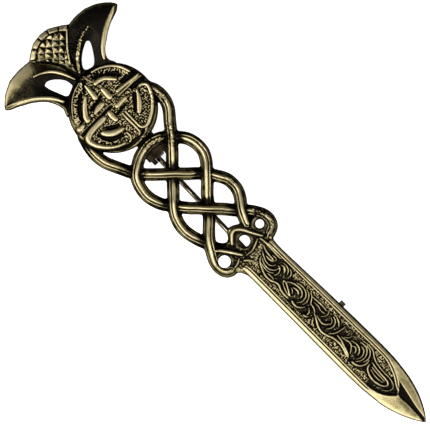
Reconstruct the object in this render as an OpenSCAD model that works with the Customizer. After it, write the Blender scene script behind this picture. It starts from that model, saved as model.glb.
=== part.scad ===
/* [Casting plan] */
// Length of the thistle crown, from its rim to its point
crown_l = 10.2; // [8:0.1:13]
// Width of the thistle crown where its rim meets the leaves
crown_w = 9.6; // [8:0.1:11]
// Distance from the brooch's middle line to a leaf's tip
leaf_reach = 14.1; // [12:0.1:18]
// Length of a leaf along the brooch, from its outer edge to its inner edge
leaf_l = 10.4; // [8.5:0.1:12]
// Radius of the round boss at the back
boss_r = 8.3; // [7.5:0.1:9.5]
// Length of the plait, from the boss's centre to the blade
plait_l = 37.2; // [33:0.1:43]
// Distance from the middle line to the centre of an outer strand
plait_reach = 6.6; // [5.8:0.1:7.6]
// Width of one strand of the plait
strand_w = 2.3; // [1.8:0.05:2.7]
// Radius of the outer eyelets' rims
eyelet_r = 2.35; // [2:0.05:2.8]
// Radius of the middle and lower eyelets' holes
eyelet_hole_r = 1.1; // [0.6:0.05:1.4]
// Radius of the upper eyelet's hole
small_eyelet_hole_r = 0.8; // [0.5:0.05:1.2]
// Length of the blade, from the guard to its point
blade_l = 44; // [34:0.5:60]
// Width of the blade where it is widest
blade_w = 8.6; // [7.4:0.1:10.5]
// Length of the blade's solid point, beyond the sunk panel
point_l = 7.6; // [5:0.1:12]

/* [Casting heights] */
// Height of the casting's flat back over the surface that the brooch lies on
back_h = 6.8; // [6:0.1:9]
// Thickness of the thistle crown at its middle
crown_t = 2.7; // [2:0.1:4]
// Height of the crown's diamond facets
facet_h = 0.5; // [0.2:0.05:0.9]
// Thickness of a leaf at its rims
leaf_t = 2.4; // [1.6:0.1:3.5]
// Width of the ridge between a leaf's dish and the crown
leaf_ridge_w = 1; // [0.6:0.05:1.4]
// How deep a leaf is dished between its rims
leaf_dish = 0.8; // [0.2:0.05:1.2]
// Thickness of the boss under its ornament
boss_t = 2.5; // [1.8:0.1:4]
// How far the boss narrows from its foot to its top
boss_slope = 0.5; // [0.2:0.05:1]
// Height of the knot ornament on the boss
knot_h = 0.8; // [0.3:0.05:1.4]
// Width of the knot's bars
bar_w = 0.85; // [0.5:0.05:1.2]
// Thickness of a strand of the plait at its ridges
strand_t = 2.2; // [1.6:0.1:3.2]
// How far a strand rises or dips where two cross
strand_lift = 0.55; // [0.2:0.05:0.9]
// Thickness of the eyelets' rims
eyelet_t = 2.3; // [1.6:0.1:3.2]
// Thickness of the blade at the crest of its bevels
blade_t = 2.3; // [1.6:0.1:3.2]
// Thickness of the blade at its edge
edge_t = 0.8; // [0.4:0.05:1.4]
// Depth of the blade's sunk panel
panel_d = 0.75; // [0.3:0.05:1.1]
// Height of the scroll foliage over the panel's floor
scroll_h = 0.55; // [0.2:0.05:0.9]
// Width of a stem of the scroll foliage
scroll_w = 1.05; // [0.6:0.05:1.4]

/* [Hinge] */
// Distance from the boss's centre to the rivet
hinge_x = 11; // [9.5:0.1:12]
// Offset of the hinge from the brooch's middle line
hinge_y = 0.05; // [-0.6:0.05:0.6]
// Angle from the brooch's middle line to the pin's line
stem_skew = -1.5; // [-2.5:0.1:1]
// Height of the rivet's axis over the surface that the brooch lies on
axis_h = 1.9; // [1.7:0.05:2.3]
// Gap between the hinge's two ears
ear_gap = 2.1; // [1.8:0.05:2.8]
// Thickness of an ear
ear_t = 0.9; // [0.6:0.05:1.2]
// Thickness of the hinge's base plate
plate_t = 0.8; // [0.5:0.05:1.2]
// Length of the base plate behind the rivet
plate_l = 5.6; // [4:0.1:7]
// Diameter of the rivet
rivet_d = 1.1; // [0.8:0.05:1.4]
// Diameter of the rivet's heads
rivet_head_d = 1.8; // [1.5:0.05:2.4]
// Thickness of a rivet head
rivet_head_t = 0.35; // [0.2:0.05:0.6]

/* [Pin stem] */
// Diameter of the pin stem
stem_d = 1; // [0.8:0.05:1.2]
// Length of the pin's point beyond the catch
stem_overhang = 1; // [0.5:0.1:3]
// Length of the pin's tapered point
taper_l = 5; // [3:0.5:8]
// Offset of the stem from the middle of its knuckle
stem_offset = -0.5; // [-0.6:0.05:0]
// Outer diameter of the knuckle round the rivet
knuckle_d = 2.8; // [2.4:0.05:3.2]

/* [Catch] */
// Distance from the blade's start to the near face of the catch's barrel
catch_on_blade = 18.6; // [14:0.1:22]
// Length of the barrel
barrel_l = 2.8; // [2:0.1:4]
// Outer diameter of the barrel
barrel_d = 4.1; // [3.9:0.05:5]
// Diameter of the turning tube
rotor_d = 2.6; // [2.3:0.05:2.9]
// Width of the slot that the stem lies in
slot_w = 1.3; // [1.25:0.05:1.5]
// Thickness of the tube's collar, along the stem
collar_t = 1.1; // [0.7:0.05:1.6]
// Diameter of the collar
collar_d = 3.6; // [3.2:0.05:3.8]
// Thickness of the flange at the tube's far end
flange_t = 0.4; // [0.3:0.05:0.8]
// Length of the lever from the tube's axis to its knob's end
lever_l = 6.5; // [5:0.1:8]
// Thickness of the lever
lever_t = 0.9; // [0.6:0.05:1.3]
// Diameter of the knob at the lever's end
knob_d = 1.2; // [1:0.05:1.5]
// Width of the foot that is soldered to the blade
foot_w = 4.6; // [3:0.1:6]

/* [Hidden] */
brass = "#8c7f4e";
dark_brass = "#5f5636";
steel = "#6d6a60";
round_fn = 48;
small_fn = 24;
// Clearance of a turning fit, on the radius
run_gap = 0.06;
// Clearance of a piece that is riveted tight, on the radius
tight_gap = 0.02;
// Gap beside a piece that turns, along its axis
side_gap = 0.12;
// Gap round the stem in the catch's mouth, on each side
mouth_gap = 0.2;
// How far a hole or a cut runs past the faces that it opens
past = 1;
// How deep an ornament's foot is sunk in the face that carries it
root = 0.3;

// The casting is laid out along X from the crown's rim, and centred on its whole length.
boss_gap = 0.4;
total_l = crown_l + boss_gap + boss_r + plait_l + blade_l;
rim_x = -total_l / 2;
crown_point_x = rim_x + crown_l;
boss_x = crown_point_x + boss_gap + boss_r;
blade_x = boss_x + plait_l;
point_x = blade_x + blade_l;

// Points on a smooth curve through the rows of a route, all columns alike.
function blend(a, b, c, d, t) =
    0.5 * (2 * b + (c - a) * t + (2 * a - 5 * b + 4 * c - d) * t * t + (3 * b - a - 3 * c + d) * t * t * t);
function smooth(route, steps) = [
    for (i = [0 : len(route) - 2], k = [0 : steps - 1])
        blend(
            route[max(i - 1, 0)], route[i], route[i + 1], route[min(i + 2, len(route) - 1)], k / steps
        ),
    route[len(route) - 1],
];
function heading(path, i) =
    let (d = path[min(i + 1, len(path) - 1)] - path[max(i - 1, 0)], flat = [d[0], d[1]]) flat / norm(flat);

// Closed surface through rings of points, each ring as long as the others, with flat ends.
module skin(rings) {
    n = len(rings[0]);
    last = len(rings) - 1;
    sides = [
        for (i = [0 : last - 1], k = [0 : n - 1])
            let (a = i * n + k, b = i * n + (k + 1) % n)
            each [[a, b, b + n], [a, b + n, a + n]],
    ];
    near = [for (k = [n - 1 : -1 : 0]) k];
    far = [for (k = [0 : n - 1]) last * n + k];
    polyhedron(points = [for (r = rings, p = r) p], faces = concat([near], sides, [far]), convexity = 8);
}

// Ridge swept along a route of [x, y, width, height]. The profile's rows are [side, height] as shares.
module sweep(path, profile, base) {
    skin([
        for (i = [0 : len(path) - 1])
            let (h = heading(path, i), side = [-h[1], h[0]], p = path[i])
            [
                for (q = profile)
                    [p[0] + side[0] * q[0] * p[2] / 2, p[1] + side[1] * q[0] * p[2] / 2, base + q[1] * p[3]],
            ],
    ]);
}

// Thistle crown: a fan of diamond facets between the rim and the crown's point.
// u runs across from -1 to 1, v from the point, 0, to the rim, 1.
crown_rows = 10;
crown_columns = 14;
crown_side_power = 2.3;
crown_tip_w = 0.8;
crown_shoulder = 2.5;
crown_wall_t = 1.5;
function crown_xy(u, v) = [
    crown_point_x + (rim_x + crown_shoulder * u * u - crown_point_x) * v,
    u * (crown_tip_w + (crown_w - crown_tip_w) * pow(v, crown_side_power)) / 2,
];
function crown_z(i, j, u, v) =
    let (dome = crown_wall_t + (crown_t - crown_wall_t) * (1 - u * u) * sin(180 * min(v * 0.75 + 0.2, 1)))
    dome + ((i + j) % 2 == 1 && i > 0 && i < crown_columns ? facet_h : 0);
function crown_point(i, j) =
    let (u = 2 * i / crown_columns - 1, v = j / crown_rows, p = crown_xy(u, v))
    [p[0], p[1], back_h + crown_z(i, j, u, v)];
module crown() {
    columns = crown_columns + 1;
    top = [for (j = [0 : crown_rows], i = [0 : crown_columns]) crown_point(i, j)];
    bottom = [for (p = top) [p[0], p[1], back_h]];
    count = len(top);
    cells = [
        for (j = [0 : crown_rows - 1], i = [0 : crown_columns - 1])
            let (a = j * columns + i, b = a + 1, c = a + columns + 1, d = a + columns)
            each (i + j) % 2 == 0 ? [[a, b, c], [a, c, d]] : [[a, b, d], [b, c, d]],
    ];
    rim = concat(
        [for (i = [0 : crown_columns]) i],
        [for (j = [1 : crown_rows]) j * columns + crown_columns],
        [for (i = [crown_columns - 1 : -1 : 0]) crown_rows * columns + i],
        [for (j = [crown_rows - 1 : -1 : 1]) j * columns]
    );
    walls = [
        for (k = [0 : len(rim) - 1])
            let (a = rim[k], b = rim[(k + 1) % len(rim)])
            each [[a, a + count, b + count], [a, b + count, b]],
    ];
    polyhedron(
        points = concat(top, bottom),
        faces = concat([for (f = cells) f], walls, [[for (k = rim) k + count]]),
        convexity = 8
    );
}

// Horn-shaped leaf with a raised rim, drawn for the upper side. Each section runs across the leaf, from its
// edge by the rim to its edge by the plait. x runs from the crown's point, as a share of the leaf's length, and
// y is a share of its reach.
// Columns: outer x, outer y, inner x, inner y, thickness as a share of the leaf's
leaf_sections = [
    [-0.466, 1, -0.442, 0.99, 0.6],
    [-0.567, 0.94, -0.404, 0.95, 0.75],
    [-0.683, 0.83, -0.337, 0.86, 0.85],
    [-0.76, 0.66, -0.25, 0.74, 0.95],
    [-0.779, 0.5, -0.154, 0.63, 1],
    [-0.76, 0.37, -0.03, 0.53, 1],
    [-0.654, 0.25, 0.154, 0.47, 1],
    [-0.5, 0.14, 0.221, 0.42, 1],
    [-0.298, 0.06, 0.212, 0.3, 0.9],
    [-0.02, 0.015, 0.212, 0.1, 0.8],
];
function on_leaf(x, y) = [crown_point_x + x * leaf_l, y * leaf_reach];
// Columns: share of the way across, height as a share of the leaf's, dish as a share of the leaf's
leaf_profile = [
    [0, 0, 0],
    [0.03, 0.8, 0],
    [0.12, 0.95, 0],
    [0.3, 1, 0.7],
    [0.6, 1, 1],
    [0.8, 1, 0.4],
    [0.9, 1, 0],
    [0.97, 0.8, 0],
    [1, 0, 0],
];
module leaf_blank() {
    skin([
        for (s = leaf_sections)
            let (outer = on_leaf(s[0], s[1]), inner = on_leaf(s[2], s[3]))
            [
                for (q = leaf_profile)
                    let (p = outer + (inner - outer) * q[0])
                    [p[0], p[1], back_h + s[4] * (q[1] * leaf_t - q[2] * leaf_dish)],
            ],
    ]);
}
// Teardrop hole through a leaf, between two round ends.
// Columns: x and y as for the leaf's sections, radius as a share of the leaf's length
lower_teardrop = [[-0.236, 0.365, 0.0625], [0.024, 0.245, 0.115]];
upper_teardrop = [[-0.269, 0.362, 0.053], [0.01, 0.17, 0.091]];
module teardrop(ends) {
    hull()
        for (e = ends)
            translate(concat(on_leaf(e[0], e[1]), [back_h - past]))
                cylinder(r = e[2] * leaf_l, h = leaf_t + 2 * past, $fn = small_fn);
}
// Ridge inside the leaf, between its dish and the crown.
// Columns: x and y as for the leaf's sections, width as a share of the ridge's
leaf_ridge = [[-0.5, 0.426, 0.6], [-0.471, 0.34, 1], [-0.375, 0.227, 1], [-0.202, 0.135, 1], [0, 0.078, 0.6]];
ridge_profile = [[-1, -1], [-0.5, 0.8], [0, 1], [0.5, 0.8], [1, -1]];
module leaf(side, ends) {
    mirror([0, side < 0 ? 1 : 0, 0]) {
        difference() {
            union() {
                leaf_blank();
                sweep([
                    for (p = smooth(leaf_ridge, 3))
                        concat(on_leaf(p[0], p[1]), [p[2] * leaf_ridge_w, p[2] * leaf_ridge_w / 2]),
                ], ridge_profile, back_h + leaf_t * 0.85);
            }
            teardrop(ends);
        }
    }
}

// Round boss, with a knot of ring segments and bars. Angles are in degrees from the blade's direction.
// Columns: radius as a share of the boss's, first angle, last angle, width as a share of a bar's
knot_arcs = [
    [0.885, 20, 84, 0.95],
    [0.885, 96, 172, 0.95],
    [0.885, 190, 258, 0.95],
    [0.885, 276, 338, 0.95],
    [0.62, 28, 76, 0.7],
    [0.6, 104, 166, 0.9],
    [0.62, 204, 256, 0.75],
    [0.62, 294, 344, 1.05],
    [0.28, 130, 230, 0.7],
];
// Columns: first end's x and y, last end's x and y, as shares of the boss's radius
knot_bars = [
    [0.2, 0.13, 0.8, 0.13],
    [0.06, 0.08, 0.07, 0.4],
    [0.06, 0.5, 0.07, 0.88],
    [0.06, -0.25, 0.06, -0.8],
    [0.02, -0.1, 0.33, -0.12],
    [-0.6, -0.08, -0.38, -0.1],
    [-0.46, 0.13, -0.16, 0.13],
    [-0.22, -0.08, -0.18, -0.34],
    [-0.18, -0.72, -0.16, -0.84],
    [-0.13, 0.3, -0.1, 0.9],
];
knot_profile = [[-1, -0.5], [-0.55, 1], [0.55, 1], [1, -0.5]];
module boss() {
    top = back_h + boss_t;
    translate([boss_x, 0, back_h]) cylinder(r1 = boss_r, r2 = boss_r - boss_slope, h = boss_t, $fn = round_fn);
    for (a = knot_arcs) {
        r = a[0] * boss_r;
        steps = ceil((a[2] - a[1]) / 12);
        sweep([
            for (k = [0 : steps])
                let (t = a[1] + (a[2] - a[1]) * k / steps)
                [boss_x + r * cos(t), r * sin(t), bar_w * a[3] * (k == 0 || k == steps ? 0.6 : 1), knot_h],
        ], knot_profile, top);
    }
    for (b = knot_bars)
        hull()
            for (end = [[b[0], b[1]], [b[2], b[3]]])
                translate([boss_x + end[0] * boss_r, end[1] * boss_r, top - root])
                    cylinder(d1 = bar_w * 1.4, d2 = bar_w * 0.7, h = knot_h + root, $fn = 8);
}

// Strands of the plait. x is a share of the plait's length from the boss's centre, y is a share of its
// reach, and lift is 1 where the strand passes over another and -1 where it passes under.
// Columns: x, y, lift
falling_strand = [
    [0.02, 0.95, 0], [0.08, 1.14, 0], [0.15, 1.2, 0], [0.24, 0.9, 0], [0.3, 0.6, 1], [0.36, 0.3, 0], [0.42, -0.03, -1],
    [0.48, -0.34, 0], [0.54, -0.68, 1], [0.61, -0.93, 0.3], [0.68, -1, 0], [0.76, -0.9, 0],
    [0.81, -0.81, -1], [0.87, -0.66, -0.5], [0.95, -0.35, 0],
];
rising_strand = [
    [0, -1.05, 0], [0.06, -1.2, 0], [0.14, -1.25, 0], [0.22, -1.1, 0], [0.285, -0.88, -1], [0.34, -0.66, 0],
    [0.41, -0.25, 1], [0.47, 0.13, 0], [0.54, 0.5, -1], [0.61, 0.77, 0], [0.685, 0.9, 0],
    [0.76, 0.74, 0.4], [0.82, 0.47, 1], [0.875, 0.39, 0],
];
arch_strand = [
    [0.95, -0.75, 0], [0.965, -0.96, 0], [0.93, -1.07, 0], [0.87, -0.98, 0], [0.815, -0.77, 1],
    [0.75, -0.46, 0], [0.675, -0.02, -1], [0.61, 0.3, 0], [0.54, 0.63, 1], [0.48, 0.88, 0.3],
    [0.42, 0.97, 0], [0.36, 0.84, -0.3], [0.3, 0.58, -1], [0.265, 0.3, 0], [0.25, 0, 0],
    [0.265, -0.4, 0], [0.3, -0.74, 1], [0.36, -1, 0.3], [0.43, -1.07, 0], [0.5, -0.95, 0],
    [0.55, -0.74, -1], [0.61, -0.4, 0], [0.68, -0.04, 1], [0.75, 0.33, 0], [0.815, 0.6, -1],
    [0.86, 0.8, 0], [0.92, 0.92, 0], [0.965, 0.84, 0], [0.975, 0.65, 0],
];
// Two rounded ridges with a groove between them. Columns: side, height
strand_profile = [
    [-1, -0.1], [-0.88, 0.6], [-0.66, 0.95], [-0.4, 0.95], [0, 0.66], [0.4, 0.95], [0.66, 0.95], [0.88, 0.6], [1, -0.1],
];
// The profile's foot is kept on the casting's back, whatever the strand's lift.
module strand(route, steps) {
    path = [
        for (p = smooth(route, steps)) [boss_x + p[0] * plait_l, p[1] * plait_reach, p[2] * strand_lift],
    ];
    skin([
        for (i = [0 : len(path) - 1])
            let (h = heading(path, i), side = [-h[1], h[0]] * strand_w / 2, p = path[i])
            [
                for (q = strand_profile)
                    [
                        p[0] + side[0] * q[0],
                        p[1] + side[1] * q[0],
                        back_h + (q[1] < 0 ? 0 : q[1] * (strand_t + p[2])),
                    ],
            ],
    ]);
}
module plait() {
    strand(falling_strand, 3);
    strand(rising_strand, 3);
    strand(arch_strand, 2);
}

// Guard of three eyelets between the plait and the blade.
// Columns: distance before the blade as a share of a rim's radius, y as a share of the plait's reach, rim, hole
eyelets = [
    [1.34, 0.62, eyelet_r, small_eyelet_hole_r],
    [1.23, -0.015, eyelet_r * 0.93, eyelet_hole_r],
    [1.19, -0.81, eyelet_r, eyelet_hole_r],
];
rim_round = 0.5;
function on_guard(e) = [blade_x - e[0] * eyelet_r, e[1] * plait_reach];
module eyelet_rims() {
    for (e = eyelets)
        translate(concat(on_guard(e), [back_h])) {
            cylinder(r = e[2], h = eyelet_t - rim_round, $fn = 28);
            translate([0, 0, eyelet_t - rim_round])
                cylinder(r1 = e[2], r2 = e[2] - rim_round, h = rim_round, $fn = 28);
        }
    // Web that joins the rims to the blade
    hull()
        for (e = eyelets)
            translate([on_guard(e)[0] + eyelet_r * 0.6, on_guard(e)[1] * 0.8, back_h])
                cylinder(r = eyelet_r * 0.6, h = eyelet_t * 0.8, $fn = small_fn);
}
module eyelet_holes() {
    for (e = eyelets)
        translate(concat(on_guard(e), [back_h - past]))
            cylinder(r = e[3], h = eyelet_t + blade_t + strand_t + 2 * past, $fn = small_fn);
}

// Sword blade: flat back, bevelled edges, a sunk panel between two ridge lines and a solid point.
// Columns: distance from the guard as a share of the blade's length, half width and flat half width as shares
// of the half width, height of the crest as a share of its height over the edge
blade_sections = [
    [-0.05, 0.9, 0.74, 1], [0.05, 0.91, 0.74, 1], [0.35, 0.96, 0.74, 1], [0.62, 1, 0.76, 1], [0.72, 0.99, 0.74, 1],
    [0.79, 0.92, 0.62, 1], [0.83, 0.85, 0.45, 0.83], [0.88, 0.69, 0.2, 0.63], [0.94, 0.42, 0.08, 0.38],
    [1, 0.03, 0.01, 0.13],
];
function blade_ring(s) =
    let (
        x = blade_x + s[0] * blade_l,
        w = s[1] * blade_w / 2,
        c = min(s[2] * blade_w / 2, w * 0.9),
        crest = edge_t + s[3] * (blade_t - edge_t)
    )
    [
        [x, -w, back_h], [x, -w, back_h + edge_t], [x, -c, back_h + crest],
        [x, c, back_h + crest], [x, w, back_h + edge_t], [x, w, back_h],
    ];
module blade_blank() {
    skin([for (s = blade_sections) blade_ring(s)]);
}
panel_w = blade_w * 0.62;
// Outline of the panel. Columns: share of the panel's length, share of its half width
panel_outline = [[0, 0.9], [0.05, 1], [0.8, 1.02], [0.86, 0.98], [0.91, 0.8], [0.95, 0.5], [1, 0]];
panel_l = blade_l - point_l;
module panel_recess() {
    upper = [for (p = panel_outline) [blade_x + p[0] * panel_l, p[1] * panel_w / 2]];
    lower = [for (k = [len(upper) - 2 : -1 : 0]) [upper[k][0], -upper[k][1]]];
    translate([0, 0, back_h + blade_t - panel_d])
        linear_extrude(panel_d + past) polygon(concat(upper, lower));
}
// Curling stems and leaves of the panel. Each is part of a spiral about a centre.
// Columns: centre's x as a share of the panel's length, centre's y, first radius and last radius as shares of
// its half width, first angle, last angle
curls = [
    [0.06, 0.45, 0.34, 0.19, 150, -60], [0.11, 0.35, 0.6, 0.34, 120, -40], [0.12, -0.35, 0.34, 0.9, 40, 175],
    [0.22, 0.2, 0.22, 0.6, 240, 20], [0.27, 0.25, 0.45, 0.75, 130, -40], [0.28, -0.1, 0.7, 0.45, 200, 330],
    [0.34, -0.2, 0.4, 0.56, 150, 20], [0.36, 0.55, 0.64, 0.7, 160, 60], [0.43, 0.1, 0.22, 0.52, 230, 30],
    [0.47, 0.15, 0.45, 0.7, 130, -40], [0.49, -0.15, 0.75, 0.52, 200, 320], [0.57, -0.25, 0.45, 0.6, 160, 20],
    [0.63, 0.1, 0.22, 0.56, 230, 30], [0.69, 0.15, 0.45, 0.75, 130, -40], [0.71, -0.15, 0.75, 0.52, 200, 330],
    [0.78, -0.1, 0.38, 0.5, 170, 30], [0.84, 0, 0.5, 0.34, 180, 400], [0.87, 0.05, 0.75, 0.6, 140, 20],
];
// Stems that run along the panel between the curls. Columns: x and y as shares of the panel's, width share
stems = [
    [[0.03, 0, 0.6], [0.09, -0.55, 1], [0.14, -0.7, 1], [0.19, -0.45, 0.9], [0.24, -0.65, 1], [0.3, -0.66, 0.6]],
    [[0.42, -0.3, 0.6], [0.47, -0.6, 1], [0.53, -0.62, 1], [0.6, -0.42, 1], [0.68, -0.62, 0.8], [0.72, -0.68, 0.5]],
    [[0.78, 0.2, 0.5], [0.85, 0.08, 0.9], [0.92, 0.05, 0.9], [0.94, -0.15, 0.9], [0.88, -0.5, 0.8], [0.81, -0.35, 0.5]],
];
curl_step = 32;
curl_flat = 0.8;
scroll_profile = [[-1, -0.4], [-0.3, 0.9], [0.3, 0.9], [1, -0.4]];
module scroll_foliage() {
    base = back_h + blade_t - panel_d;
    for (c = curls) {
        steps = ceil(abs(c[5] - c[4]) / curl_step);
        sweep([
            for (k = [0 : steps])
                let (t = k / steps, r = (c[2] + (c[3] - c[2]) * t) * panel_w / 2, a = c[4] + (c[5] - c[4]) * t)
                [
                    blade_x + c[0] * panel_l + r * cos(a),
                    c[1] * panel_w / 2 + r * sin(a) * curl_flat,
                    scroll_w * (k == 0 || k == steps ? 0.5 : 1),
                    scroll_h,
                ],
        ], scroll_profile, base);
    }
    for (s = stems)
        sweep([
            for (p = smooth(s, 2))
                [blade_x + p[0] * panel_l, p[1] * panel_w / 2, scroll_w * p[2], scroll_h * 0.9],
        ], scroll_profile, base);
}
module blade() {
    difference() {
        blade_blank();
        panel_recess();
    }
    scroll_foliage();
}

module cast_body() {
    color(brass)
        difference() {
            union() {
                crown();
                leaf(1, upper_teardrop);
                leaf(-1, lower_teardrop);
                boss();
                plait();
                eyelet_rims();
                blade();
            }
            eyelet_holes();
        }
}

// The findings on the back are drawn about the rivet's middle, with X along the stem.
back_gap = back_h - axis_h;
catch_x = (blade_x + catch_on_blade - boss_x - hinge_x) / cos(stem_skew);
stem_l = catch_x + barrel_l + side_gap + flange_t + stem_overhang;
module on_pin_line() {
    translate([boss_x + hinge_x, hinge_y, axis_h]) rotate([0, 0, stem_skew]) children();
}
// Cylinder across the pin's line, between two places along Y
module across(d, from_y, to_y) {
    translate([0, to_y, 0]) rotate([90, 0, 0]) cylinder(d = d, h = to_y - from_y, $fn = round_fn);
}
// Cylinder along the pin's line, between two places along X
module along(d, from_x, to_x) {
    translate([from_x, 0, 0]) rotate([0, 90, 0]) cylinder(d = d, h = to_x - from_x, $fn = round_fn);
}
ear_outer = ear_gap / 2 + ear_t;

module hinge_bracket() {
    color(dark_brass)
        on_pin_line()
            difference() {
                union() {
                    translate([-plate_l, -ear_outer, back_gap - plate_t])
                        cube([plate_l + axis_h * 0.6, 2 * ear_outer, plate_t]);
                    for (from_y = [-ear_outer, ear_gap / 2]) {
                        across(2 * axis_h, from_y, from_y + ear_t);
                        translate([-axis_h, from_y, 0])
                            cube([2 * axis_h, ear_t, back_gap - plate_t / 2]);
                    }
                }
                across(rivet_d + 2 * tight_gap, -ear_outer - past, ear_outer + past);
            }
}

module hinge_rivet() {
    color(dark_brass)
        on_pin_line() {
            across(rivet_d, -ear_outer - rivet_head_t / 2, ear_outer + rivet_head_t / 2);
            across(rivet_head_d, -ear_outer - rivet_head_t, -ear_outer);
            across(rivet_head_d, ear_outer, ear_outer + rivet_head_t);
        }
}

module pin_stem() {
    knuckle_w = ear_gap - 2 * side_gap;
    color(steel)
        on_pin_line()
            difference() {
                union() {
                    across(knuckle_d, -knuckle_w / 2, knuckle_w / 2);
                    translate([0, stem_offset, 0]) {
                        along(stem_d, rivet_d / 2 + run_gap, stem_l - taper_l);
                        translate([stem_l - taper_l, 0, 0])
                            rotate([0, 90, 0])
                                cylinder(d1 = stem_d, d2 = stem_d * 0.15, h = taper_l, $fn = round_fn);
                    }
                }
                across(rivet_d + 2 * run_gap, -knuckle_w, knuckle_w);
            }
}

// The barrel's axis is the stem's own, and its mouth opens away from the brooch's back.
barrel_bore_d = rotor_d + 2 * run_gap;
mouth_w = stem_d + 2 * mouth_gap;
module on_catch_axis() {
    on_pin_line() translate([catch_x, stem_offset, 0]) children();
}
module catch_housing() {
    color(dark_brass)
        on_catch_axis()
            difference() {
                union() {
                    // Flat lips, level with the hinge's ears, carry the brooch on its back
                    intersection() {
                        along(barrel_d, 0, barrel_l);
                        translate([-past, -barrel_d, -axis_h])
                            cube([barrel_l + 2 * past, 2 * barrel_d, 2 * barrel_d]);
                    }
                    translate([0, -rotor_d / 2, rotor_d / 2])
                        cube([barrel_l, rotor_d, back_gap - rotor_d / 2]);
                    translate([0, -foot_w / 2, back_gap - plate_t])
                        cube([barrel_l, foot_w, plate_t]);
                }
                along(barrel_bore_d, -past, barrel_l + past);
                translate([-past, -mouth_w / 2, -barrel_d]) cube([barrel_l + 2 * past, mouth_w, barrel_d]);
            }
}

module catch_rotor() {
    collar_x = -side_gap - collar_t;
    end_x = barrel_l + side_gap + flange_t;
    color(brass)
        on_catch_axis()
            difference() {
                union() {
                    along(rotor_d, collar_x, end_x);
                    along(collar_d, collar_x, -side_gap);
                    along(collar_d, end_x - flange_t, end_x);
                    translate([collar_x, rotor_d / 3, -lever_t / 2])
                        cube([collar_t, lever_l - knob_d / 2 - rotor_d / 3, lever_t]);
                    translate([0, lever_l - knob_d / 2, 0]) along(knob_d, collar_x, -side_gap);
                }
                along(slot_w, collar_x - past, end_x + past);
                translate([collar_x - past, -slot_w / 2, -collar_d])
                    cube([end_x - collar_x + 2 * past, slot_w, collar_d]);
            }
}

cast_body();
hinge_bracket();
hinge_rivet();
pin_stem();
catch_housing();
catch_rotor();
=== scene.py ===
import math

import bpy
import numpy as np
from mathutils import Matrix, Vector
from mathutils.geometry import delaunay_2d_cdt


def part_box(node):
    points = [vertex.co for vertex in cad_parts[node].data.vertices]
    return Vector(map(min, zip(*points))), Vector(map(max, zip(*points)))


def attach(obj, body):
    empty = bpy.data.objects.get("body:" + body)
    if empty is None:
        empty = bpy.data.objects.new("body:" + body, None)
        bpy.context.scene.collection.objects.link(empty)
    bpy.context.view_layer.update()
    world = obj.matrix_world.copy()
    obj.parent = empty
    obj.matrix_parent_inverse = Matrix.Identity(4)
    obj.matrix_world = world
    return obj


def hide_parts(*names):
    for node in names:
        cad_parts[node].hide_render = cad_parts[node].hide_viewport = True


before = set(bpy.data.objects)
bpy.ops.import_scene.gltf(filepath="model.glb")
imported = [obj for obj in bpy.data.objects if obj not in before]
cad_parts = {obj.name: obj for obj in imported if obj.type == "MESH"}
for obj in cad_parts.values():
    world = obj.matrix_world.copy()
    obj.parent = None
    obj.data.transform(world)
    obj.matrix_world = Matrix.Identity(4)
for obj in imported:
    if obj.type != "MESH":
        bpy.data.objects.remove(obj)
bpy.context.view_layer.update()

# Lengths below are in millimetres, in the object's own frame, and heights are over the casting's flat back.
MM = 0.001
cast_low, cast_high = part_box("cast_body")
BACK = cast_low[2] / MM
RIM_X = cast_low[0] / MM
TIP_X = cast_high[0] / MM
# The casting is two pieces of mesh, which meet in this plane at the blade's root.
SEAM_X = 6.9
# A field's height where nothing is laid, and how far round an outline it is worked out
EMPTY = -1.0
MARGIN = 1.5


def spline(route, spacing=0.15):
    """Points on a smooth curve through a route's rows, all columns alike."""
    p = np.array(route, dtype=float)
    padded = np.vstack([2 * p[0] - p[1], p, 2 * p[-1] - p[-2]])
    pieces = []
    for i in range(len(p) - 1):
        a, b, c, d = padded[i : i + 4]
        count = max(2, math.ceil(np.hypot(*(c - b)[:2]) / spacing))
        t = (np.arange(count) / count)[:, None]
        pieces.append(
            0.5 * (2 * b + (c - a) * t + (2 * a - 5 * b + 4 * c - d) * t**2 + (3 * b - a - 3 * c + d) * t**3)
        )
    return np.vstack([*pieces, p[-1:]])


def ease(t):
    """Smooth step from 0 to 1."""
    t = np.clip(t, 0, 1)
    return t * t * (3 - 2 * t)


def smooth_min(a, b, radius):
    """The smaller of two distances, rounded where they meet."""
    h = np.clip(0.5 + 0.5 * (b - a) / radius, 0, 1)
    return b + (a - b) * h - radius * h * (1 - h)


def gauss(field, sigma):
    """A field blurred by a bell of that many cells."""
    reach = max(1, math.ceil(3 * sigma))
    bell = np.exp(-0.5 * (np.arange(-reach, reach + 1) / sigma) ** 2)
    bell /= bell.sum()
    for axis in (0, 1):
        pad = [(reach, reach) if k == axis else (0, 0) for k in (0, 1)]
        wide = np.pad(field, pad, mode="edge")
        field = sum(w * np.take(wide, range(k, k + field.shape[axis]), axis) for k, w in enumerate(bell))
    return field


def to_outline(x, y, outline):
    """Signed distance to a closed outline, negative inside."""
    best = np.full(x.shape, np.inf)
    inside = np.zeros(x.shape, dtype=bool)
    for (ax, ay), (bx, by) in zip(outline, np.roll(outline, -1, axis=0), strict=True):
        ex, ey = bx - ax, by - ay
        t = np.clip(((x - ax) * ex + (y - ay) * ey) / max(ex * ex + ey * ey, 1e-12), 0, 1)
        best = np.minimum(best, (x - ax - t * ex) ** 2 + (y - ay - t * ey) ** 2)
        if ay != by:
            inside ^= ((ay > y) != (by > y)) & (x < ax + (y - ay) * ex / ey)
    return np.where(inside, -1, 1) * np.sqrt(best)


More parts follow.
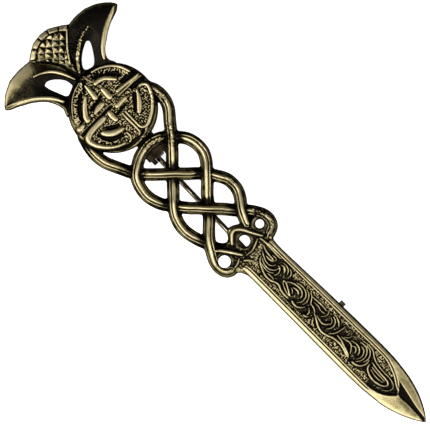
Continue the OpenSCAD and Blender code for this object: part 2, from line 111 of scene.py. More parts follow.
def to_route(x, y, line):
    """Distance to a line of points, its further columns at the nearest place, and the side, 1 on the left."""
    best = np.full(x.shape, np.inf)
    extra = np.zeros((line.shape[1] - 2, *x.shape))
    side = np.zeros(x.shape)
    for a, b in zip(line[:-1], line[1:], strict=True):
        ex, ey = b[0] - a[0], b[1] - a[1]
        t = np.clip(((x - a[0]) * ex + (y - a[1]) * ey) / max(ex * ex + ey * ey, 1e-12), 0, 1)
        d = (x - a[0] - t * ex) ** 2 + (y - a[1] - t * ey) ** 2
        near = d < best
        best = np.where(near, d, best)
        for k in range(len(extra)):
            extra[k] = np.where(near, a[k + 2] + (b[k + 2] - a[k + 2]) * t, extra[k])
        side = np.where(near, np.sign(ex * (y - a[1]) - ey * (x - a[0])), side)
    return np.sqrt(best), extra, side


def pebbles(x, y, pitch, radius, seed):
    """Height from 0 to 1 of round grains, one in each cell of a jittered grid."""
    rng = np.random.default_rng(seed)
    shift = rng.uniform(-0.32, 0.32, (256, 256, 2))
    swell = rng.uniform(0.7, 1.1, (256, 256))
    i, j = np.floor(x / pitch).astype(int), np.floor(y / pitch).astype(int)
    best = np.zeros(x.shape)
    for di in (-1, 0, 1):
        for dj in (-1, 0, 1):
            a, b = (i + di) % 256, (j + dj) % 256
            cx = (i + di + 0.5 + shift[a, b, 0]) * pitch
            cy = (j + dj + 0.5 + shift[a, b, 1]) * pitch
            grain = 1 - ((x - cx) ** 2 + (y - cy) ** 2) / (radius * swell[a, b]) ** 2
            best = np.maximum(best, grain)
    return np.clip(best, 0, 1) ** 0.6


class Relief:
    """A height field over a stretch of the casting, with the distance to its outline."""

    def __init__(self, x0, x1, y0, y1, step):
        self.step = step
        self.x, self.y = np.meshgrid(np.arange(x0, x1, step), np.arange(y0, y1, step))
        self.top = np.full(self.x.shape, EMPTY)
        self.out = np.full(self.x.shape, 9.0)
        # Patina and wear of the metal, and painted shade and highlights where the parts add them
        self.tarnish_and_shade = np.zeros(self.x.shape)

    def window(self, points, reach):
        """The part of the field near some points."""
        x, y = self.x[0], self.y[:, 0]
        low, high = points[:, :2].min(0) - reach, points[:, :2].max(0) + reach
        i = np.searchsorted(y, [low[1], high[1]])
        j = np.searchsorted(x, [low[0], high[0]])
        return np.s_[i[0] : i[1], j[0] : j[1]]

    def lay(self, outline, height, wall=0.35, rim=0.5, blend=0.3):
        """Adds a plate with drafted walls. height is a number, or a function of x, y and the way in."""
        w = self.window(outline, MARGIN)
        x, y = self.x[w], self.y[w]
        d = to_outline(x, y, outline)
        h = height(x, y, -d) if callable(height) else height
        t = np.clip(-d / wall, 0, 1)
        z = np.where(d < 0, rim + (h - rim) * (1 - (1 - t) ** 2), EMPTY)
        self.top[w] = np.maximum(self.top[w], z)
        self.out[w] = smooth_min(self.out[w], d, blend)

    def band(self, route, width, height, profile, rise=0.0, blend=0.35):
        """Adds a strand of that width and profile. The route's third column is its lift."""
        line = spline(route)
        w = self.window(line, width)
        x, y = self.x[w], self.y[w]
        d, (lift,), side = to_route(x, y, line)
        places, shares, stains = np.array(profile).T
        # The strand's lines wander a little, as in a casting from a hand-cut model.
        wander = STRAND_WANDER * np.sin(0.9 * x + 0.5 * y) * np.cos(0.7 * y - 0.4 * x)
        offset = 2 * d / width * side + wander
        z = np.interp(offset, places, shares) * (height + rise * lift)
        over = (2 * d < width) & (z > self.top[w])
        self.top[w] = np.where(over, z, self.top[w])
        # A strand has painted shade where it dives under another, and is blacker in large soft spots.
        darken = np.interp(offset, places, stains) + DIVE_SHADE * ease(-lift / 0.8)
        darken += 0.35 * pebbles(x, y, *STRAND_SPOTS) - 0.12
        self.tarnish_and_shade[w] = np.where(over, darken, self.tarnish_and_shade[w])
        self.out[w] = smooth_min(self.out[w], d - width / 2, blend)

    def ridge(self, route, base, height, dome=0.3):
        """Raises a domed ridge, rubbed clean, over a ground. The route's third column is its width."""
        line = spline(route, 0.1)
        w = self.window(line, 1.2)
        d, (width,), _ = to_route(self.x[w], self.y[w], line)
        t = 2 * d / np.maximum(width, 0.05)
        z = base + height * (1 - dome * np.minimum(t, 1) ** 2) * ease((1.25 - t) / 0.45)
        self.top[w] = np.maximum(self.top[w], np.where(t < 1.25, z, EMPTY))
        self.tarnish_and_shade[w] *= ease(t - 0.4)

    def darken(self, outline, amount, spread, grow=0.0):
        """Adds darkness inside an outline, and up to grow outside it, fading over spread. Parts use it for
        patina, and for painted shade and highlights.
        """
        w = self.window(outline, grow + 0.1)
        x, y = self.x[w], self.y[w]
        d = to_outline(x, y, outline)
        added = amount(x, y, -d) if callable(amount) else amount
        self.tarnish_and_shade[w] += added * ease((grow - d) / spread)

    def cut(self, outline):
        """Cuts a hole right through."""
        w = self.window(outline, MARGIN)
        self.out[w] = np.maximum(self.out[w], -to_outline(self.x[w], self.y[w], outline))


def ring_outline(x, y, radius, count=48):
    """That many points on a circle."""
    a = 2 * math.pi * np.arange(count) / count
    return np.stack([x + radius * np.cos(a), y + radius * np.sin(a)], 1)


def closed(points, spacing=0.3):
    """Points on a smooth closed curve through some points."""
    line = spline([points[-1], *points, points[0], points[1]], spacing)
    distance = np.hypot(*(line - np.array(points[0])).T)
    half = len(line) // 2
    return line[distance[:half].argmin() : half + distance[half:].argmin()]


# Thistle head: a crown of diamond facets between two horn-shaped leaves.

LEAF_OUTLINES = {
    "upper": [
        (-39.6, 0.5), (-43, 1.2), (-45, 2.3), (-47.2, 4.2), (-47.65, 5.2), (-47.85, 7), (-47.7, 9),
        (-47.4, 10), (-47, 11), (-46.4, 12), (-45.6, 13), (-44.7, 13.8), (-44, 14.08), (-43.55, 13.6),
        (-43.2, 13.1), (-42.8, 12), (-42.5, 11), (-42, 10), (-41.4, 9), (-40.7, 8), (-40, 7), (-39, 6.15),
        (-38, 5.85), (-36.6, 6.2), (-36.8, 3),
    ],
    "lower": [
        (-39.6, -0.5), (-43, -1.2), (-45, -2.3), (-47.4, -4.3), (-48, -5), (-48.2, -7), (-48.1, -9),
        (-47.9, -10), (-47.4, -11), (-46.9, -12), (-46.1, -13), (-45.2, -13.9), (-44.7, -14.08),
        (-44.3, -13.7), (-43.95, -13.1), (-43.5, -12), (-42.9, -11), (-42.4, -10), (-41.8, -9.2),
        (-41, -8.2), (-40, -7.4), (-39, -6.9), (-37.4, -6.5), (-35.8, -6.8), (-36.4, -3),
    ],
}
TEARDROPS = {
    "upper": [
        (-43.2, 5.2), (-43, 5.6), (-42.6, 5.65), (-42, 5.4), (-41, 4.8), (-40, 4.1), (-39.3, 3.4),
        (-39.05, 2.8), (-39.2, 2.1), (-39.55, 1.55), (-40, 1.4), (-40.6, 1.65), (-41.4, 2.3), (-42, 3),
        (-42.6, 3.9),
    ],
    "lower": [
        (-43.05, -5), (-42.95, -5.7), (-42.6, -5.85), (-41.5, -5.6), (-40.5, -5.2), (-39.5, -4.8),
        (-38.8, -4.5), (-38.45, -4), (-38.5, -3.4), (-38.8, -2.6), (-39.1, -2.3), (-39.6, -2.25),
        (-40.5, -2.4), (-41.3, -2.8), (-42, -3.4), (-42.6, -4.1),
    ],
}
# Ridges of the leaves. Columns: x, y, width
LEAF_RIMS = {
    "upper": [
        (-44.1, 13.3, 0.4), (-43.6, 12.4, 0.75), (-43, 11, 0.95), (-42.5, 10, 1.05), (-41.8, 8.8, 1.1),
        (-41, 7.7, 1.1), (-40.25, 6.75, 1.05), (-39.4, 5.95, 0.9), (-38.6, 5.35, 0.6),
    ],
    "lower": [
        (-44.9, -13.5, 0.3), (-44.5, -12.4, 0.55), (-43.8, -11, 0.65), (-43.2, -10, 0.7), (-42.5, -8.9, 0.8),
        (-41.6, -7.9, 0.85), (-40.6, -6.9, 0.85), (-39.5, -6.1, 0.8), (-38.3, -5.5, 0.6),
    ],
}
LEAF_FOLDS = {
    "upper": [
        (-44.8, 7.3, 0.6), (-44.6, 6.3, 0.55), (-44.3, 5.2, 0.6), (-43.8, 4.3, 0.75), (-43.1, 3.2, 0.8),
        (-42.4, 2.3, 0.8), (-41.6, 1.5, 0.75), (-40.6, 0.8, 0.6), (-39.9, 0.3, 0.4),
    ],
    "lower": [
        (-45.3, -6.1, 0.25), (-45, -5.2, 0.45), (-44.4, -4.1, 0.6), (-43.6, -3.1, 0.75),
        (-42.6, -2.35, 0.75), (-41.5, -1.8, 0.65), (-40.5, -1.4, 0.5), (-39.7, -1.15, 0.4),
    ],
}
LEAF_T = 2.1
# How deep a leaf is dished round its hole, and how far out
DISH_DEPTH = 0.5
DISH_W = 2.4
# The low web that joins the leaves to the crown's point
THROAT_OUTLINE = [
    (-47.4, 4.7), (-45, 4.6), (-42, 3), (-39.6, 1.5), (-38.4, 0.6), (-38.4, -0.6), (-39.6, -1.5), (-42, -3),
    (-45, -4.6), (-47.4, -4.6),
]


def leaf(relief, side):
    outline = LEAF_OUTLINES[side]
    sign = 1 if side == "upper" else -1
    hole = closed(TEARDROPS[side])
    outer_edge = spline(outline[2:14])

    def height(x, y, _inside):
        # The leaf rounds off to its outer edge, and is dished round its hole.
        outer, *_ = to_route(x, y, outer_edge)
        hollow = DISH_DEPTH * ease(1 - to_outline(x, y, hole) / DISH_W)
        round_off = 1.36 * (1 - ease(0.5 + outer / 7)) ** 1.2
        inner_fall = 0.06 * np.clip(12 - sign * y, 0, 12) * ease((x + 45) / 4)
        return LEAF_T - round_off - hollow - inner_fall

    def darkness_at(x, y, _inside):
        # The upper leaf is painted black as shade but for its inner rim, and the lower one has a painted
        # highlight at its outer end.
        painted_highlight = ease((-44.8 - x) / 2.4) * ease((-4 - y) / 2)
        return 0.62 if side == "upper" else 0.46 - 0.66 * painted_highlight

    border = spline([*outline, outline[0]])
    relief.lay(border, height, wall=0.3, rim=0.75)
    # The dish round the hole is darkened: patina in the hollow, and painted shade.
    relief.darken(hole, 0.4, 2.8, grow=2.8)
    relief.darken(border, darkness_at, 0.3)
    for ridges, rise in ((LEAF_RIMS, 0.7), (LEAF_FOLDS, 0.75)):
        relief.ridge(ridges[side], LEAF_T - 0.65, rise)
    relief.cut(hole)


# The crown's rim is a squashed arc round this x. Inside RIM_BAND_R are diamonds, and outside it are plates.
CROWN_ARC_X = -44.6
CROWN_ARC_SQUASH = 0.93
RIM_BAND_R = 4.3
# A plate's share of the arc in degrees, its height, and the groove that parts the plates from the diamonds
PLATE_ANGLE = 24
PLATE_H = 0.6
RIM_GROOVE_DEPTH = 0.4
RIM_GROOVE_W = 0.12
DIAMOND_SIDE = 1.17
DIAMOND_H = 0.6
# The middle of one diamond
DIAMOND_AT = (-47.65, -1.43)
CROWN_OUTLINE = [
    (-39.7, 0), (-41.5, 0.55), (-43, 0.95), (-44, 1.45), (-45, 2.1), (-46, 3), (-47.4, 4.7), (-47.75, 5.1),
    (-48.5, 4.1), (-49.2, 3), (-49.8, 1.9), (-50, 1), (-50.05, 0), (-49.95, -1), (-49.75, -2), (-49.2, -3),
    (-48.6, -3.9), (-47.9, -4.9), (-47.4, -4.6), (-46, -3), (-45, -2.1), (-44, -1.45), (-43, -0.95),
    (-41.5, -0.55),
]
# Columns: x, y, width
CROWN_EDGE = [
    (-47.2, 4.3, 0.35), (-46, 3.15, 0.45), (-44.6, 1.85, 0.45), (-43.4, 1, 0.4), (-42.2, 0.2, 0.35),
]


def facets(x, y):
    """Uneven pyramids, cornerwise in rows that fan out to the rim: their height, and how black they are:
    painted shade on the faces on two sides, and more on the small ones.
    """
    along = x - DIAMOND_AT[0] + 0.1 * np.sin(2.3 * y)
    fanned = y / (1 - 0.06 * (x + 45.5)) - DIAMOND_AT[1] + 0.1 * np.sin(2.1 * x)
    a = (along + fanned) / (math.sqrt(2) * DIAMOND_SIDE)
    b = (along - fanned) / (math.sqrt(2) * DIAMOND_SIDE)
    size = np.random.default_rng(8).uniform(0.6, 1.2, (32, 32))
    size = size[np.round(a).astype(int) % 32, np.round(b).astype(int) % 32]
    a, b = a - np.round(a), b - np.round(b)
    # Two faces of each pyramid are painted black as shade, and small pyramids darker.
    black = np.where(np.abs(a) > np.abs(b), a > 0, b < 0) + 0.9 * (0.9 - size)
    return size * (1 - 2 * np.maximum(np.abs(a), np.abs(b))), black


def rim_radius(x, y):
    """How far a place is from the middle of the crown's arc, which is squashed."""
    return np.hypot(x - CROWN_ARC_X, CROWN_ARC_SQUASH * y)


def crown(relief):
    outline = np.array(CROWN_OUTLINE)

    def height(x, y, inside):
        dome = 1.3 + 0.55 * ease(inside / 2)
        pyramid, _ = facets(x, y)
        # A band of sloping plates along the rim
        r = rim_radius(x, y)
        turn = np.degrees(np.arctan2(y, CROWN_ARC_X - x)) / PLATE_ANGLE + 0.3
        gap = np.clip(np.abs(turn - np.round(turn)) * 9, 0, 1)
        plate = PLATE_H * gap - 0.05 * (r - RIM_BAND_R)
        band = (r > RIM_BAND_R) & (x < CROWN_ARC_X)
        groove = RIM_GROOVE_DEPTH * np.exp(-(((r - RIM_BAND_R) / RIM_GROOVE_W) ** 2)) * (x < CROWN_ARC_X)
        return dome + np.where(band, plate, DIAMOND_H * pyramid) - groove

    def darkness_at(x, y, _inside):
        # The diamonds get the painted shade of their faces; the plates get none.
        _, black = facets(x, y)
        return np.where((rim_radius(x, y) < RIM_BAND_R) | (x > CROWN_ARC_X), black - 0.3, 0)

    relief.lay(outline, height, wall=0.25, rim=0.8)
    relief.darken(outline, darkness_at, 0.2)
    relief.ridge(CROWN_EDGE, 1.6, 0.6)


# Round boss with a knot of worn ridges over a pebbled ground.

BOSS = (-31.15, 0.1)
BOSS_R = 8.3
BOSS_T = 2.1
# The step down to the boss's border, and the border's width
LIP_DEPTH = 0.35
LIP_W = 1
KNOT_H = 0.85
# Columns: x, y, width
KNOT_RIDGES = [
    [(-30.5, 6.4, 0.55), (-30.35, 6.95, 0.6), (-29.6, 7.5, 0.6), (-28.3, 7.05, 0.6), (-27, 6.2, 0.6),
     (-25.7, 4.8, 0.6), (-24.8, 3.2, 0.65), (-24.5, 2.2, 0.6), (-25, 1.3, 0.5), (-26.5, 1.2, 0.45),
     (-29, 1.25, 0.4)],
    [(-29.1, 0.6, 0.4), (-27.5, 0.6, 0.45), (-25.4, 0.6, 0.45), (-24.5, 0.5, 0.4), (-24.2, 0, 0.35)],
    [(-30.4, 5.5, 0.35), (-29.4, 5, 0.65), (-28.4, 4.25, 0.85), (-27.7, 3.55, 0.85), (-27.2, 3, 0.7)],
    [(-30.75, 3, 0.7), (-30.75, 2, 0.8), (-30.75, 0.9, 0.85)],
    [(-30.85, -2.4, 0.85), (-30.85, -3.4, 1), (-30.85, -5, 1), (-30.65, -6.3, 1), (-30.2, -7.05, 1),
     (-29.4, -7.2, 0.9), (-28.2, -6.8, 0.8), (-26.9, -5.9, 0.7), (-25.8, -4.7, 0.6), (-25.2, -3.6, 0.5),
     (-24.9, -2.8, 0.4)],
    [(-29, -4.4, 0.9), (-28.3, -3.8, 1.1), (-27.7, -3, 1.1), (-27.3, -2.1, 0.9), (-27.1, -1.3, 0.6)],
    [(-30.8, -1, 0.95), (-30, -1.05, 1), (-29.2, -1, 0.9)],
    [(-37.4, -0.65, 0.5), (-36.2, -0.7, 0.8), (-35.4, -0.75, 0.95), (-34.7, -0.85, 1)],
    [(-32.9, -0.8, 0.85), (-32.9, -1.5, 1), (-32.8, -2.3, 0.85), (-32.6, -2.9, 0.5)],
    [(-36, -2.1, 0.5), (-35.2, -3, 0.75), (-34.2, -3.95, 0.85), (-33.4, -4.55, 0.95), (-32.7, -4.8, 0.95)],
    [(-38.6, -1, 0.2), (-38.15, -2.6, 0.25), (-37.3, -4.1, 0.25), (-36.1, -5.4, 0.25), (-34.7, -6.5, 0.2)],
    [(-32.55, -6, 0.6), (-32.5, -6.6, 0.9), (-32.55, -7, 0.95)],
    [(-38.4, 2, 0.45), (-38.05, 3.2, 0.45), (-37.3, 4.6, 0.5), (-36.2, 5.8, 0.55), (-35, 6.55, 0.55),
     (-33.7, 6.95, 0.5)],
    [(-36.45, 0.95, 0.75), (-36.4, 1.7, 0.8), (-35.95, 2.8, 0.8), (-35.1, 3.6, 0.75), (-34.4, 4.15, 0.6)],
    [(-34.7, 1.15, 0.9), (-34, 1.15, 1), (-32.9, 1.1, 1)],
    [(-32.15, 7.7, 0.4), (-32.3, 6, 0.5), (-32.5, 4.4, 0.55), (-32.65, 2.8, 0.6)],
    [(-31.65, 7.9, 0.3), (-31.85, 6, 0.35), (-31.9, 4.4, 0.35), (-31.95, 2.4, 0.3)],
    [(-26.1, -1.3, 0.35), (-25.3, -1.2, 0.4), (-24.7, -1.6, 0.4), (-24.5, -2.1, 0.35)],
]
# Sunk channels where one strap of the knot dives under another. Columns: x, y, width
KNOT_GAPS = [
    [(-33.15, 7.8, 1), (-33.2, 6, 1.1), (-33.3, 4.7, 0.8)],
    [(-31.15, 7.9, 0.9), (-31.15, 6.5, 1), (-31.3, 5.2, 0.7)],
    [(-37.6, 1.4, 0.8), (-37.25, 2.8, 1), (-36.3, 4.1, 1), (-35.1, 5, 0.9), (-34.5, 5.2, 0.7)],
    [(-30.1, 4.5, 0.6), (-29.1, 3.9, 0.8), (-28.2, 3.1, 0.7), (-27.8, 2.5, 0.5)],
    [(-31.5, 0, 0.5), (-31.45, -3, 0.55), (-31.4, -7.4, 0.6)],
    [(-38.3, -0.3, 0.7), (-37.3, -1.3, 0.7), (-36.7, -1.6, 0.5)],
    [(-37, -2.2, 0.5), (-36, -3.6, 0.7), (-34.6, -4.9, 0.7), (-33.4, -5.5, 0.6)],
    [(-29.2, -3.2, 0.6), (-28.5, -2.4, 0.8), (-28.1, -1.4, 0.6)],
    [(-29.4, -5.3, 0.5), (-28, -4.8, 0.7), (-26.9, -3.7, 0.7), (-26.3, -2.2, 0.6)],
    [(-29.75, 3, 0.45), (-29.75, 0, 0.45)],
    [(-34.1, 0.2, 0.4), (-33.8, -1.5, 0.6), (-33.6, -3, 0.5)],
    [(-25.6, -5.4, 0.5), (-24.3, -3.6, 0.8), (-23.9, -1.5, 0.9), (-24.1, 1.2, 0.5)],
]
GAP_DEPTH = 0.45
# Pitch, radius and seed of the pebbled ground, and its height
BOSS_GRAINS = (0.4, 0.2, 5)
BOSS_GRAIN_H = 0.4
# Rows of beads. Columns: first x, first y, last x, last y
BEAD_ROWS = [
    (-38.9, 0.3, -35.7, 0.25), (-35.3, 0.4, -32.4, 0.35), (-29.2, 0.1, -24.8, -0.2),
    (-31.25, 4.7, -31.4, 0.4), (-31.95, -0.3, -31.9, -7.4), (-37.7, 1, -37.9, 2.4), (-30.1, 3.9, -29.2, 0.4),
    (-28.9, 2.9, -28.6, 1.9),
]
BEAD_PITCH = 0.46
BEAD_W = 0.28
# Short ticks inside the boss's border. Columns: radius, first and last angle, length of a tick
TICK_ROWS = [(6.95, 188, 246, 0.55), (6.95, 112, 156, 0.42)]
TICK_PITCH = 0.46
TICK_W = 0.27


def knot_ground(x, y):
    """How far a place of the boss is sunk in a channel, and how high its pebbles stand, both from 0 to 1."""
    sunk = np.zeros(x.shape)
    for gap in KNOT_GAPS:
        d, (width,), _ = to_route(x, y, spline(gap, 0.4))
        sunk = np.maximum(sunk, np.exp(-((2 * d / np.maximum(width, 0.1)) ** 4)))
    return sunk, pebbles(x, y, *BOSS_GRAINS) * (1 - sunk)


def ticks(radius, first, last, length):
    """Short radial ridges on an arc round the boss's middle, unevenly long, placed and turned."""
    count = round(radius * math.radians(last - first) / TICK_PITCH)
    for angle in np.radians(np.linspace(first, last, count)):
        half = 0.5 * length * (1 + 0.5 * math.sin(137 * angle))
        middle, slant = radius + 0.16 * math.sin(211 * angle), 0.03 * math.sin(97 * angle)
        ends = [(middle - half, angle - slant), (middle + half, angle + slant)]
        yield [(BOSS[0] + r * math.cos(a), BOSS[1] + r * math.sin(a), TICK_W) for r, a in ends]


def boss(relief):
    disc = ring_outline(*BOSS, BOSS_R, 96)

    def height(x, y, inside):
        sunk, grains = knot_ground(x, y)
        lip = ease((LIP_W - inside) / 0.45)
        return BOSS_T + BOSS_GRAIN_H * grains * (1 - lip) - LIP_DEPTH * lip - GAP_DEPTH * sunk

    def darkness_at(x, y, inside):
        sunk, grains = knot_ground(x, y)
        lip = ease((LIP_W - inside) / 0.4)
        return 0.15 * lip + 0.5 * sunk + (0.3 - 0.5 * grains) * (1 - lip)

    relief.lay(disc, height, wall=0.7, rim=0.6)
    relief.darken(disc, darkness_at, 0.1, grow=1.4)
    for ridge in KNOT_RIDGES:
        relief.ridge([(x, y, 1.12 * wide) for x, y, wide in ridge], BOSS_T - 0.1, KNOT_H, 0.15)
    for first_x, first_y, last_x, last_y in BEAD_ROWS:
        count = max(2, round(math.hypot(last_x - first_x, last_y - first_y) / BEAD_PITCH))
        for x, y in np.linspace((first_x, first_y), (last_x, last_y), count):
            relief.ridge([(x, y, BEAD_W), (x + 0.05, y + 0.05, BEAD_W)], BOSS_T, 0.5)
    for row in TICK_ROWS:
        for tick in ticks(*row):
            relief.ridge(tick, BOSS_T - 0.1, 0.5)


# Openwork plait of three strands. Columns: x, y, lift, which is 1 where a strand passes over another

FALLING = [
    (-29.5, 7.2, 0), (-28, 7.9, 0), (-26, 8, 0), (-24, 7.3, 0), (-22, 5.7, 0.3), (-20.4, 4.4, 1),
    (-18, 2.3, 0.2), (-16.3, 0.6, -0.6), (-15.2, -0.4, -1), (-14, -1.5, -0.6), (-12, -3.4, 0.4),
    (-11, -4.4, 1), (-10, -5.2, 0.7), (-9, -5.8, 0.2), (-7.5, -6.35, 0), (-6, -6.5, 0), (-4.5, -6.3, 0),
    (-3, -5.9, -0.4), (-1.4, -5.3, -1), (0, -4.9, -1), (0.9, -4.4, -1), (1.8, -3.7, -1.2), (2.8, -3.1, -1.4),
]
RISING = [
    (-31, -7.5, -3), (-29, -8.05, -0.8), (-27, -8.25, 0), (-25, -7.95, 0), (-23, -7.1, -0.2),
    (-21.5, -6.4, -0.7), (-20.3, -5.8, -1), (-19, -4.9, -0.5), (-18, -4, 0), (-17, -3, 0.4),
    (-16, -1.95, 0.9), (-15.2, -1.1, 1), (-14, 0.2, 0.7), (-13, 1.2, 0.2), (-12, 2.3, -0.5),
    (-11.2, 3.1, -1), (-10.2, 3.9, -0.7), (-9, 4.7, -0.1), (-8, 5.3, 0), (-7, 5.7, 0), (-6, 5.8, 0),
    (-5, 5.75, 0), (-4, 5.45, 0), (-3, 4.9, 0.4), (-2, 4.1, 0.9), (-1.2, 3.5, 1), (0, 2.9, 0.4),
    (1.2, 2.5, 0),
]
ARCH = [
    (5.2, -5.6, 0), (4.8, -6.3, 0), (4, -6.7, 0), (3, -6.8, 0), (2, -6.6, 0), (1, -6.15, 0.1),
    (0, -5.6, 0.5), (-1, -4.95, 1), (-2, -4.15, 0.8), (-3, -3.2, 0.2), (-4, -2.15, -0.3), (-5, -1.2, -0.9),
    (-6, -0.3, -1), (-7, 0.5, -0.6), (-8, 1.35, 0), (-9, 2.4, 0.3), (-10, 3.4, 0.8), (-11, 4.3, 1),
    (-12, 5.15, 0.6), (-13, 5.8, 0.2), (-14, 6.2, 0), (-15.5, 6.3, 0), (-17, 6, -0.1), (-18, 5.5, -0.4),
    (-19, 4.7, -0.9), (-20.3, 3.5, -0.8), (-21.3, 2, -0.2), (-21.75, 0.3, 0), (-21.75, -0.3, 0),
]
BACK_ARCH = [
    (-21.75, 0.3, 0), (-21.75, -0.3, 0), (-21.6, -1.6, 0), (-21.2, -3, 0.2), (-20.3, -4.5, 0.8),
    (-19.2, -5.7, 0.9), (-18, -6.4, 0.4), (-16.5, -6.8, 0), (-15, -6.85, 0), (-13.5, -6.5, -0.2),
    (-12.3, -6, -0.6), (-11.2, -5.2, -1), (-10, -4.3, -0.6), (-8.3, -3, 0), (-7.3, -2, 0.4),
    (-6.3, -1.1, 0.9), (-5.3, -0.2, 1), (-4.3, 0.8, 0.5), (-3.3, 1.7, -0.2), (-2.3, 2.5, -0.7),
    (-1.2, 3.5, -1), (-0.3, 4.3, -0.5), (0.5, 4.9, 0), (1.5, 5.5, 0), (2.6, 5.9, 0), (3.7, 5.85, 0),
    (4.7, 5.3, 0), (5.2, 4.3, 0),
]
STRAND_W = 2.35
STRAND_T = 2.0
STRAND_LIFT = 0.45
STRAND_WANDER = 0.06
# Painted shade on a strand where it dives under another
DIVE_SHADE = 0.9
# Pitch, radius, seed
STRAND_SPOTS = (2.1, 0.8, 31)
# A broad ridge, a thin one, a groove between them and drafted walls. Columns: side, height, patina
STRAND_PROFILE = [
    (-1, 0.2, -0.1), (-0.86, 0.42, -0.1), (-0.72, 0.6, 0.3), (-0.6, 0.7, 0.4), (-0.53, 0.82, 0),
    (-0.46, 0.9, -0.15), (-0.38, 0.87, 0), (-0.3, 0.77, 0.5), (-0.24, 0.8, 0.4), (-0.16, 0.93, 0),
    (-0.06, 0.98, -0.15), (0.06, 1, -0.2), (0.2, 0.97, -0.15), (0.32, 0.91, -0.1), (0.42, 0.83, 0.1),
    (0.52, 0.72, 0.5), (0.64, 0.65, 0.4), (0.74, 0.57, 0), (0.87, 0.4, -0.1), (1, 0.2, -0.1),
]

# Places where the casting is left rough and black. Columns: x, y, radius
ROUGH_PATCHES = [
    (-20.6, 3.4, 3), (-22.3, 0.2, 2.2), (-26.6, 7.5, 2), (0.5, 5.3, 1), (1.6, 5.6, 1.6), (-6.4, 5.7, 1.5),
    (-18.6, -4.6, 1), (-43.8, 3.4, 2.2), (-44.5, 6.2, 1.8), (-41, 1.3, 1.6), (4.4, 5.9, 1.1),
]
# Pitch, radius, seed
ROUGH_GRAINS = (0.5, 0.28, 17)


def plait(relief):
    for route in (FALLING, RISING, ARCH, BACK_ARCH):
        relief.band(route, STRAND_W, STRAND_T, STRAND_PROFILE, STRAND_LIFT)
    grains = pebbles(relief.x, relief.y, *ROUGH_GRAINS)
    for x, y, radius in ROUGH_PATCHES:
        rough = ease(1.2 - np.hypot(relief.x - x, relief.y - y) / radius)
        relief.top += np.where(relief.top > 0.8, 0.35 * rough * (grains - 0.5), 0)
        relief.tarnish_and_shade += 0.3 * rough


# Guard: three eyelets in a web, bound by bands. Columns: x, y, radius of the hole, radius of the rim

EYELETS = [(2.85, 4.1, 0.82, 1.75), (3.1, -0.1, 1.08, 1.95), (3.2, -5.35, 1.14, 1.95)]
WEB_OUTLINE = [
    (0.3, 1.6), (-0.45, 0.4), (-0.7, -0.6), (-0.3, -1.25), (0.6, -1.85), (0.95, -2.4), (0.8, -3), (1.4, -5),
    (3.2, -7.1), (4.6, -6.9), (5.4, -6.2), (6, -5.4), (6.8, -4.7), (7.6, -4.3), (8.4, -4.1), (8.4, 3.7),
    (7.3, 3.75), (6.5, 3.95), (6.1, 4.4), (5.8, 5.2), (5.4, 6), (4.6, 6.6), (3, 6.7), (1.5, 5), (0.6, 2.6),
]
# Columns: x, y, width
GUARD_RIDGES = [
    [(1.9, -2.1, 0.6), (1.1, -1.4, 0.7), (0.5, -0.7, 0.7), (0.4, 0, 0.75), (0.9, 0.7, 0.75),
     (1.6, 1.25, 0.75), (2.5, 1.7, 0.7), (3.4, 2.15, 0.65), (4.7, 2.9, 0.5)],
    [(0.7, -5.1, 0.5), (1.2, -4.5, 0.7), (2.1, -3.8, 0.75), (3, -3.2, 0.8), (3.8, -2.7, 0.75),
     (4.6, -2.2, 0.55)],
    [(4.5, 1.9, 0.3), (4.9, 0.9, 0.45), (5.3, -0.3, 0.45), (5.2, -1.6, 0.4)],
    [(6.9, -1.5, 0.4), (6.1, -2.1, 0.6), (5.5, -2.7, 0.4)],
    [(4.7, -3.1, 0.35), (5.1, -3.8, 0.45), (5.3, -4.7, 0.35)],
    [(4.8, 2.3, 0.4), (6, 2.45, 0.5), (7.4, 2.4, 0.5), (8.8, 2.3, 0.45), (10, 2.3, 0.3)],
    [(5, 5, 0.3), (5.2, 4, 0.4), (5.6, 3.3, 0.3)],
]
WEB_T = 1.35
# Pitch, radius, seed
WEB_GRAINS = (0.5, 0.26, 11)


def guard(relief):
    def height(x, y, _inside):
        return WEB_T + 0.2 * pebbles(x, y, *WEB_GRAINS)

    relief.lay(np.array(WEB_OUTLINE), height, wall=0.6, rim=0.5)
    for x, y, hole, rim in EYELETS:
        middle = (hole + rim) / 2
        loop = [(*p, 0.6 * (rim - hole)) for p in ring_outline(x, y, middle, 16)]
        relief.ridge([*loop, loop[0]], 1, 0.55)
        relief.tarnish_and_shade += 0.35 * ease(1.8 - np.hypot(relief.x - x, relief.y - y) / rim)
    for ridge in GUARD_RIDGES:
        relief.ridge(ridge, WEB_T - 0.1, 0.95)


# Sword blade: bevels, two crest lines, a sunk panel of scroll foliage and a solid point

BLADE_UPPER = [
    (6.2, 3.8), (9, 3.72), (14, 3.88), (20, 4.08), (27, 4.25), (33, 4.33), (37, 4.28), (40, 4), (42, 3.7),
    (44, 3.2), (46, 2.5), (48, 1.5), (49.2, 0.7), (50.04, -0.05),
]
BLADE_LOWER = [
    (6.2, -4.15), (9, -4.1), (14, -4.12), (20, -4.15), (27, -4.2), (33, -4.2), (37, -4.12), (40, -3.85),
    (42, -3.6), (44, -3.1), (46, -2.4), (48, -1.45), (49.2, -0.75), (50.04, -0.15),
]
PANEL_OUTLINE = [
    (5.8, 2.5), (6.4, 2.62), (12, 2.66), (20, 2.8), (30, 2.92), (34, 2.97), (36.5, 2.9), (38, 2.5),
    (39.3, 2), (40.3, 1.45), (41.4, 0.75), (42.6, 0.15), (42.6, -0.6), (41.6, -1.55), (40.6, -2.2),
    (39.4, -2.65), (37.8, -2.95), (35, -3), (28, -2.93), (18, -2.9), (8, -2.85), (5.8, -2.8),
]
